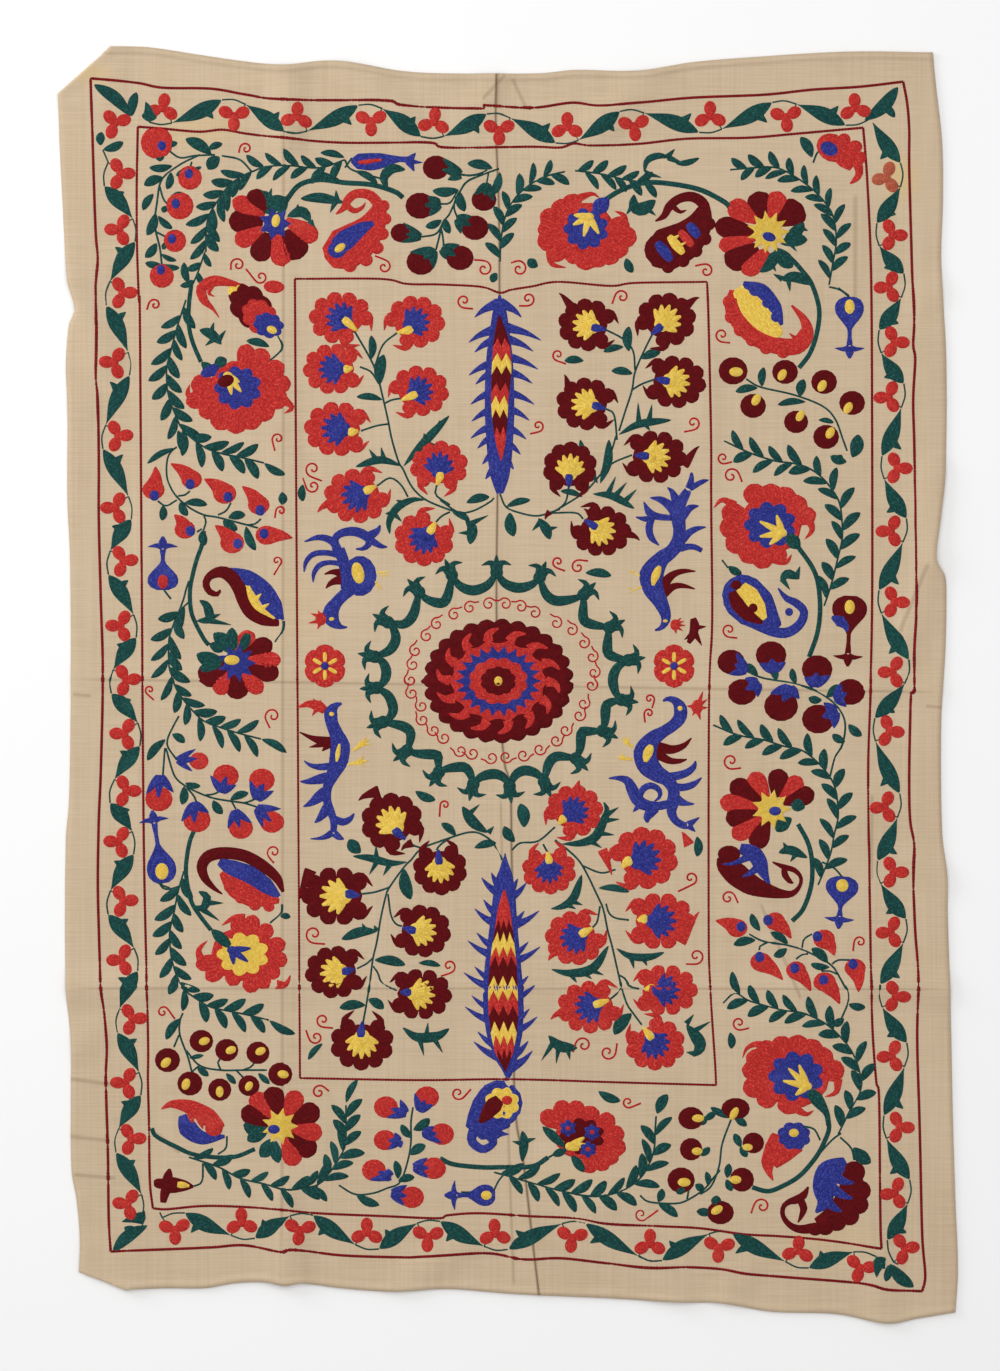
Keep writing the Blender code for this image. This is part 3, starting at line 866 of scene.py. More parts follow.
def trefoil(x, y, tx, ty, nx, ny, inside, name="coral"):
    # three round petals about a middle: one outwards and two back, or the other way about
    flip = 1 if inside else -1
    for along, out, turn in ((0.5, 7.2, 90), (-8.4, -4.0, 30), (8.2, -4.6, -30)):
        cx, cy = x + tx * along + nx * out * flip, y + ty * along + ny * out * flip
        heading = math.degrees(math.atan2(-(ny * out * flip + ty * along), nx * out * flip + tx * along))
        disc(name, cx, cy, 9.4, 7.6, heading)
    disc(name, x, y, 6.0, 6.0)


fadedTrefoil = (886, 178)


border = {"stem": 2.8, "stalk": 2.2, "leaf": 19.0, "barb": 17.0}  # widths in millimetres


def borderSide(places, insideFirst, lead, tail):
    # one side's trefoils, its stem winding past them and a barbed leaf between each two
    count = len(places)
    route = []
    for k, (x, y) in enumerate(places):
        before, after = places[max(k - 1, 0)], places[min(k + 1, count - 1)]
        tx, ty = after[0] - before[0], after[1] - before[1]
        size = math.hypot(tx, ty)
        tx, ty = tx / size, ty / size
        nx, ny = ty, -tx
        inside = (k % 2 == 0) == insideFirst
        offsets = [(-12, -16), (0, -17), (11, -14)] if inside else [(-13, 16), (-1, 17), (11, 13)]
        bend = [(x + tx * a + nx * b, y + ty * a + ny * b) for a, b in offsets]
        trefoil(x, y, tx, ty, nx, ny, inside, "faded" if (x, y) == fadedTrefoil else "coral")
        stalk = -1 if inside else 1
        stem([(x + nx * stalk * 3, y + ny * stalk * 3),
              (x + tx * 7 + nx * stalk * 8, y + ty * 7 + ny * stalk * 8), bend[2]], border["stalk"])
        route.append((bend, (tx, ty), (nx, ny), inside))
    turns = [(lead, route[0][0][0], *route[0][1:3], not insideFirst)]
    turns += [(this[0][2], after[0][0], *this[1:]) for this, after in zip(route, route[1:])]
    for start, goal, (tx, ty), (nx, ny), inside in turns:
        side = 1 if inside else -1
        mx, my = (start[0] + goal[0]) / 2, (start[1] + goal[1]) / 2
        strip("green", [start, (mx - nx * side * 1.5, my - ny * side * 1.5), goal], border["leaf"], "wedge")
        barb = (goal[0] - tx * 6 - nx * side * 20, goal[1] - ty * 6 - ny * side * 20)
        root = (start[0] + (goal[0] - start[0]) * 0.62, start[1] + (goal[1] - start[1]) * 0.62)
        strip("green", [root, ((root[0] + barb[0]) / 2 + tx, (root[1] + barb[1]) / 2 + ty), barb],
              border["barb"], "horn")
    for bend, *_ in route:
        stem(bend, border["stem"])
    stem([route[-1][0][2], tail], border["stem"])


borderSide(trefoils[1:], True, (150, 108), (868, 119))
borderSide(rightTrefoils, False, (872, 122), (898, 1264))
borderSide(bottomTrefoils, True, (885, 1268), (160, 1212))
borderSide(leftTrefoils, True, (146, 1218), (103, 150))
trefoil(115, 123, 0.7, -0.7, -0.7, -0.7, True)
leaves([
    (132, 117, 94, 85, 14), (132, 117, 137, 92, 11), (103, 150, 124, 142, 10), (101, 146, 102, 132, 10),
    (864, 121, 898, 87, 15), (880, 104, 895, 118, 9), (889, 1263, 914, 1287, 14), (888, 1264, 885, 1281, 9),
    (148, 1225, 113, 1251, 14), (140, 1230, 124, 1227, 9),
])


# The round medallion at the middle, from its outer scallops to its eye: thread, radii, points, how deep
medallion = [
    ("maroon", 77.5, 64.0, 27, 0.06, 0), ("coral", 55.0, 45.5, 14, -0.1, 0.9),
    ("blue", 48.0, 39.5, 22, -0.2, 1.5), ("coral", 32.7, 26.0, 12, 0.1, 2.1),
    ("maroon", 19.8, 16.0, 10, 0.1, 2.7), ("yellow", 4.5, 5.2, 0, 0.0, 3.2),
]
medallionCentre = (498.3, 681.0)
for name, rx, ry, points, bite, layer in medallion:
    disc(name, *medallionCentre, rx * pixel / mm, ry * pixel / mm, layer=layer, lobes=points, bite=bite)

flames = {"count": 14, "root": 0.72, "tip": 1.0, "lean": 15, "width": 16.0, "rx": 64.0, "ry": 53.5}
for k in range(flames["count"]):
    places = []
    for part, lean in ((flames["root"], 0), (0.9, 4), (flames["tip"], flames["lean"])):
        a = math.radians(360 * k / flames["count"] - lean)
        places.append((medallionCentre[0] + flames["rx"] * part * math.cos(a),
                       medallionCentre[1] - flames["ry"] * part * math.sin(a)))
    strip("coral", places, flames["width"], "horn", 1)

# The ring of red spirals round the medallion, mirrored where the two widths meet
spirals = [
    (488.8, 604.2), (469.9, 607.7), (454.4, 614.6), (437, 624), (426.8, 636), (415.6, 650.7), (413, 664.5),
    (410.5, 680), (412, 693), (421.7, 705.8), (422.5, 719.6), (433.7, 730), (444, 737.7), (460.4, 750.6),
    (472.5, 753.2), (491.4, 757.5), (506, 756.6), (523.3, 755), (539.6, 749), (556, 740.3), (565.5, 730),
    (579.2, 715.3), (583.5, 703.3), (591.3, 685.2), (593.9, 672.3), (592, 656.8), (583.5, 643), (571.5, 630),
    (556, 623), (534.5, 612.9), (520.7, 606.8), (505.2, 604.2),
]
for x, y in spirals:
    out = math.degrees(math.atan2(medallionCentre[1] - y, x - medallionCentre[0]))
    turn = 1 if x < 498 else -1
    loop = [ray(x, y, out + turn * (370 - 430 * j / 13), 1.6 + 5.2 * j / 13) for j in range(14)]
    strip("red", loop + [ray(x, y, out - turn * 78, 10.8)], 2.5, "stem", 0, 2.2)

# The green wreath: places of its thorned knots, and where each arc between them sags
knots = [
    (496.6, 572.4), (451.8, 575), (419, 592), (388, 622.3), (375, 656.8), (377, 687.8), (383, 722),
    (407, 750.6), (438.9, 772), (473.3, 784), (509.5, 786), (544, 781.6), (575.8, 758.4), (602.5, 730.8),
    (621.4, 699.8), (628.3, 660.2), (609.4, 627.5), (583.5, 594.8), (539.6, 577.6),
]
sags = [
    (473.3, 590.5), (442, 603), (404.4, 624), (395.8, 639.5), (386.4, 672.3), (393.2, 708.4), (410.5, 732.5),
    (437, 755), (463, 767), (494, 773.9), (525, 770.4), (556, 756.6), (581.8, 732.5), (606, 706.7),
    (612.8, 679), (607.6, 651.6), (583.5, 618.9), (556, 600.8), (518, 587.9),
]
for k, (x, y) in enumerate(knots):
    x1, y1 = knots[(k + 1) % len(knots)]
    sx, sy = sags[k]
    arc = [(x, y), (x * 0.62 + sx * 0.38, y * 0.3 + sy * 0.7), (sx, sy),
           (x1 * 0.62 + sx * 0.38, y1 * 0.3 + sy * 0.7), (x1, y1)]
    if abs(x1 - x) < abs(y1 - y):
        arc[1] = (x * 0.3 + sx * 0.7, y * 0.62 + sy * 0.38)
        arc[3] = (x1 * 0.3 + sx * 0.7, y1 * 0.62 + sy * 0.38)
    strip("green", arc, 13.0, "arc", 0, 3.5)
    out = math.degrees(math.atan2(medallionCentre[1] - y, x - medallionCentre[0]))
    disc("green", x, y, 8.0, 8.0)
    strip("green", [(x, y), ray(x, y, out, 18)], 15.0, "horn")
    for side in (-1, 1):
        strip("green", [(x, y), ray(x, y, out + side * 30, 11.0), ray(x, y, out + side * 66, 17.0)],
              13.0, "horn")


print("border and middle stitched")

# The four flowering trees: place, radii in pixels, the angle of the stem and the place of the eye
coralBlue, maroonYellow = ("coral", "blue", "yellow"), ("maroon", "yellow", "blue")
coralFlowers = [
    (341, 318, 33, 27, -39, (346, 321)), (415, 322, 31, 27, 211, (409, 330)),
    (333, 369, 31, 26, 4, (348, 369)), (419, 391, 31, 26, 207, (414, 395)),
    (337, 429, 34, 28, -5, (353, 432)), (357, 496, 34, 28, 27, (368, 490)),
    (439, 466, 30, 26, 264, (440, 476)), (424, 539, 31, 28, 55, (431, 530)),
    (574, 811, 30, 27, 222, (562, 820)), (549, 870, 28, 25, 95, (549, 860)),
    (644, 858, 35, 32, 205, (627, 862)), (575, 938, 31, 28, 30, (583, 933)),
    (660, 921, 36, 29, 180, (642, 919)), (665, 990, 34, 26, 180, (650, 988)),
    (590, 1007, 34, 27, 20, (597, 1004)), (655, 1044, 31, 27, 125, (650, 1036)),
]
maroonFlowers = [
    (587, 325, 30, 27, -13, (595, 328)), (666, 320, 31, 28, 225, (659, 328)),
    (675, 382, 32, 27, 171, (666, 381)), (586, 404, 31, 27, -14, (596, 406)),
    (570, 468, 28, 27, -93, (569, 478)), (655, 457, 33, 27, 175, (645, 456)),
    (601, 531, 31, 26, 146, (594, 526)), (392, 822, 32, 30, -52, (397, 832)),
    (440, 869, 28, 27, 95, (439, 861)), (337, 896, 37, 30, 0, (350, 894)),
    (422, 931, 30, 27, 170, (412, 930)), (335, 972, 31, 27, 8, (346, 971)),
    (420, 994, 33, 26, 175, (407, 992)), (362, 1043, 33, 28, 88, (361, 1033)),
]
for x, y, rx, ry, toward, eye in coralFlowers:
    fan(x, y, rx, ry, toward, coralBlue, eye)
for x, y, rx, ry, toward, eye in maroonFlowers:
    fan(x, y, rx, ry, toward, maroonYellow, eye)
# Outer horns of the flowers
for row in [
    ("coral", 328, 505, 317, 513, 10), ("coral", 686, 840, 681, 832, 10), ("coral", 556, 953, 548, 961, 10),
    ("coral", 688, 930, 700, 911, 11), ("coral", 562, 1013, 550, 1020, 10),
    ("coral", 577, 789, 580, 780, 10), ("maroon", 568, 304, 558, 293, 10),
    ("maroon", 690, 304, 700, 298, 10), ("maroon", 568, 386, 564, 374, 10),
    ("maroon", 690, 458, 700, 446, 10), ("maroon", 590, 516, 583, 509, 8),
    ("maroon", 630, 536, 640, 541, 9), ("maroon", 371, 795, 358, 801, 11),
    ("maroon", 306, 882, 299, 901, 11), ("maroon", 548, 515, 545, 520, 6), ("coral", 606, 860, 612, 876, 9),
    ("maroon", 408, 846, 401, 851, 8),
]:
    horn(*row)

treeStems = [
    [(352, 327), (371, 360), (378, 378), (383, 398), (388, 420), (392, 440), (399, 463), (403, 469),
     (412, 487), (426, 500), (450, 510), (458, 512)], [(397, 333), (383, 345), (375, 366)],
    [(360, 367), (371, 372), (379, 384)], [(405, 398), (392, 400), (384, 404)],
    [(361, 431), (376, 426), (389, 424)], [(377, 486), (390, 478), (401, 485), (408, 497)],
    [(437, 485), (436, 495), (450, 505)], [(436, 522), (442, 516), (450, 512)],
    [(440, 500), (458, 512), (473, 511), (490, 502), (494, 498)],
    [(500, 494), (506, 507), (520, 513), (537, 516), (552, 512), (560, 509)],
    [(604, 329), (623, 339), (633, 351), (635, 370)],
    [(653, 333), (644, 351), (635, 372), (632, 390), (625, 412), (619, 431)],
    [(656, 379), (642, 384), (632, 390)], [(606, 409), (614, 415), (617, 440)],
    [(569, 485), (565, 503), (552, 513)],
    [(632, 455), (613, 463), (601, 474), (586, 491), (565, 505), (551, 513)],
    [(583, 519), (576, 513), (552, 513)], [(616, 436), (611, 452), (601, 473)],
    [(450, 838), (422.6, 848), (411, 860), (404, 867), (389, 888), (386, 895.5), (381, 917), (377, 941),
     (373, 958.5), (369.7, 984), (366, 1006.6), (363, 1022.7)], [(407, 841), (415, 846), (422.6, 848)],
    [(436.6, 850), (440, 845), (450, 838)], [(361, 894), (375, 892), (389, 887.5)],
    [(388, 894), (391, 915), (396, 924), (402, 926)], [(357, 968.5), (366, 964), (373, 958)],
    [(397, 990.6), (382, 982.5), (378, 973), (373, 966)],
    [(440, 841), (471, 832), (488, 838), (497, 849), (502, 860)],
    [(512, 850), (520, 843), (538, 841), (555, 827)], [(543, 844), (548, 853)],
    [(555, 840), (568, 850), (582, 865), (598, 897), (603.5, 910), (607.6, 930), (612, 946), (617, 968),
     (622, 989), (627, 1004), (633, 1013), (641.7, 1024.7)], [(615.6, 869.4), (601, 872.8), (582, 865.4)],
    [(591.5, 928), (597, 922), (600, 906)], [(629, 920), (615.6, 918), (609, 913), (606, 903.5)],
    [(639, 989), (630, 986.5), (625, 978.5), (618, 974.5)], [(607.6, 1001), (615.6, 994.6), (621, 988)],
]
stems(treeStems)
leaves([
    (371, 360, 371, 335, 9), (380, 385, 384, 354, 13), (383, 400, 356, 397, 8), (466, 503, 490, 497, 10),
    (583, 497, 560, 491, 7), (629, 352, 629, 326, 11), (624, 347, 603, 352, 8), (641, 359, 661, 352, 10),
    (633, 374, 611, 371, 9), (598, 484, 580, 439, 10), (600, 484, 609, 439, 10), (585, 573, 612, 576, 10),
    (415, 791, 436, 800, 10), (506, 507, 531, 500, 8), (510, 512, 514, 537, 13), (361, 853, 349, 839, 14),
    (404, 868, 411, 900, 14), (374, 960, 406, 965, 11), (366, 1005, 339, 1008, 11),
    (368, 999, 384, 1009, 11), (584, 361, 564, 361, 9), (598, 888, 630, 892, 8), (632, 1013, 614, 1035, 14),
    (474, 848, 497, 843, 9), (524, 828, 520, 803, 14), (515, 842, 504, 826, 11), (456, 836, 441, 823, 9),
    (418, 963, 441, 966, 7), (323, 1043, 308, 1060, 7), (697, 836, 697, 857, 10), (303, 484, 303, 502, 9),
    (452, 512, 470, 521, 8),
])
sprigs = [  # points, width, barb tips
    ([(402, 466), (380, 460), (355, 467)], 10, [(369, 449), (381, 447), (368, 475)]),
    ([(403, 467), (420, 447), (450, 415)], 11, [(424, 433), (436, 445), (440, 420)]),
    ([(426, 500), (412, 500), (397, 508), (389, 522), (390, 535)], 10, [(396, 500), (385, 514), (402, 522)]),
    ([(465, 520), (472, 528), (470, 545)], 14, [(489, 515), (458, 533)]),
    ([(538, 518), (546, 529), (550, 540)], 13, [(532, 531), (558, 527)]),
    ([(618, 435), (640, 424), (672, 420)], 10, [(638, 402), (652, 404), (650, 431)]),
    ([(592, 494), (612, 496), (635, 509)], 10, [(616, 476), (627, 482), (637, 489)]),
    ([(408, 862), (390, 863), (370, 858), (352, 856)], 10, [(369, 875), (383, 876), (376, 845)]),
    ([(378, 931), (360, 932), (341, 939.5)], 13, [(362, 923), (374, 925)]),
    ([(402, 1027), (417, 1037), (437, 1036), (450, 1028)], 13, [(424, 1056), (443, 1053), (428, 1022)]),
    ([(561, 844), (580.6, 843), (595, 837), (603, 822), (607, 810), (603, 801)], 12,
     [(619, 807), (620, 819), (615, 835), (602, 848)]),
    ([(550, 909), (563, 906), (574, 897), (582, 874)], 11, [(576, 909), (583, 905)]),
    ([(550, 969), (570, 973), (593, 968), (609, 945)], 12, [(577, 983), (592, 979), (604, 975)]),
    ([(615.6, 948), (630, 956), (649, 957), (665, 952)], 10, [(634, 969), (647, 966)]),
    ([(686, 1024), (700, 1044), (693, 1057)], 16, [(711, 1021), (694, 1014), (686, 1052)]),
    ([(548, 1035), (560, 1046), (578, 1048)], 14, [(541, 1061), (556, 1064), (570, 1060)]),
    ([(488, 833), (473, 822), (462, 806)], 14, [(480, 804), (494, 826)]),
]
for points, width, tips in sprigs:
    sprig(points, width, tips, 8.0)
disc("yellow", 358, 573, 8, 14, 12, layer=2)

curls = [  # x, y, radius in pixels, tail, turning
    (464, 301, 7, (473, 309), 1), (528, 299, 7, (519, 306), -1), (538, 426, 6, (530, 434), -1),
    (313, 469, 8, (322, 481), 1), (313, 486, 7, (303, 478), -1), (558, 355, 6, (566, 364), 1),
    (622, 297, 7, (612, 304), 1), (693, 423, 7, (684, 432), -1), (558, 562, 6, (565, 571), 1),
    (578, 567, 7, (588, 561), -1), (445, 805, 5, (439.5, 816.8), 1), (314, 934, 9, (325, 944), 1),
    (449, 966, 7, (441, 976), -1), (323, 1020, 7, (333, 1028), 1), (316, 1037, 7, (306, 1030), -1),
    (690.6, 878, 7, (678, 891.5), -1), (696, 956, 8, (686, 964), -1), (583.5, 1045, 8, (573, 1052), 1),
    (607.6, 1052, 8, (617, 1043), 1), (649, 713.3, 5, (645, 722.4), 1), (649.5, 699, 5, (652, 708), -1),
]
for x, y, radius, tail, turn in curls:
    curl(x, y, radius, tail, turn)
print("trees stitched")

# The two cypresses: a spindle of zigzag bands between blue fronds. Places and widths are in photo pixels.
upperCypress = {
    "body": [(499.7, 292), (499.5, 394), (500, 497)],
    "bodyWidths": (0, 15, 21, 27, 30, 31, 31, 29, 26, 20, 6),
    "core": [(499.2, 316), (501.5, 345), (501.5, 372), (499.8, 400), (500, 425), (501.3, 461)],
    "coreWidths": (2, 11, 18, 20, 21, 19.5, 18, 16.5, 13.5, 9, 1),
    "bands": [(0.0, "maroon"), (0.18, "coral"), (0.286, "yellow"), (0.375, "maroon"), (0.493, "coral"),
              (0.58, "yellow"), (0.676, "maroon"), (0.793, "coral")],
    "peaks": 2,
    "rootDrop": -15,
    "fronds": [
        (474, 318), (468, 343), (474, 353), (468, 376), (475, 385), (470, 405), (471, 422), (470, 439),
        (477, 449), (482, 465), (485, 480), (522, 318), (542, 341), (534, 352), (539, 370), (533, 384),
        (535, 405), (530, 421), (527, 440), (521, 455), (514, 470),
    ],
}
lowerCypress = {
    "body": [(505.3, 853), (503.5, 930), (503, 985), (505, 1040), (509, 1080)],
    "bodyWidths": (0, 17, 24, 28, 33, 38, 42, 42, 37, 24, 3),
    "core": [(504.3, 890), (503.7, 926), (503.2, 960), (503, 992), (503.7, 1025), (504, 1050), (505.4, 1071)],
    "coreWidths": (2, 13, 18, 23.5, 28, 30.5, 31.5, 31, 27, 19, 1),
    "bands": [(0.0, "coral"), (0.19, "maroon"), (0.26, "yellow"), (0.34, "coral"), (0.394, "maroon"),
              (0.503, "yellow"), (0.583, "coral"), (0.667, "maroon"), (0.753, "yellow"), (0.83, "coral"),
              (0.903, "maroon")],
    "peaks": 3,
    "rootDrop": 19,
    "fronds": [
        (481, 877), (491, 872), (474, 908), (483, 899), (467, 940), (476, 932), (463, 972), (474, 966),
        (464, 1006), (471, 995), (473, 1041), (477, 1031), (527, 882), (518, 878), (540, 910), (525, 910),
        (541, 946), (529, 941), (536, 984), (529, 975), (538, 1016), (530, 1008), (533, 1050), (529, 1040),
    ],
}


def zigzagBand(name, tree, low, high, sway=0.03):
    # one band of a core, its two ends running up and down across it
    inner = np.linspace(-1.0, 1.0, 13)
    wave = 4 * np.abs((inner + 1) / 2 * tree["peaks"] % 1 - 0.5) - 1
    v = np.concatenate([[-1.0], inner * 0.92, [1.0]])[:, None]
    wave = np.concatenate([wave[:1], wave, wave[-1:]])[:, None] * sway
    coreX, coreY, _, _, length = splinePoints(tree["core"], 60)
    along = max(2, round((high - low) * length / stitching["cell"]))
    s = np.linspace(0, 1, along + 1)
    top = low + wave * (low > 0)
    t = top + (high + wave * (high < 1) - top) * s
    whole = np.linspace(0, 1, 60)
    half = np.interp(t, np.linspace(0, 1, len(tree["coreWidths"])), tree["coreWidths"]) / 2
    x, y = np.interp(t, whole, coreX) + v * half, np.interp(t, whole, coreY)
    rise = np.where(np.abs(v) > 0.99, 0.0, 1.0) + 0 * t
    addPatch(name, along, len(v) - 1, x.ravel(), y.ravel(), rise.ravel(), (t * length * mm).ravel(),
             (v * half * pixel).ravel(), 2.2)


def cypress(tree):
    wide = max(tree["bodyWidths"])
    strip("blue", tree["body"], wide * pixel / mm, [w / wide for w in tree["bodyWidths"]])
    bodyX, bodyY = splinePoints(tree["body"], 60)[:2]
    for x, y in tree["fronds"]:
        root = (float(np.interp(y + tree["rootDrop"], bodyY, bodyX)), y + tree["rootDrop"])
        strip("blue", [root, (root[0] * 0.4 + x * 0.6, root[1] * 0.55 + y * 0.45), (x, y)], 15.0, "horn")
    starts = [at for at, _ in tree["bands"]] + [1.0]
    for (low, name), high in zip(tree["bands"], starts[1:]):
        zigzagBand(name, tree, low, high)


cypress(upperCypress)
cypress(lowerCypress)

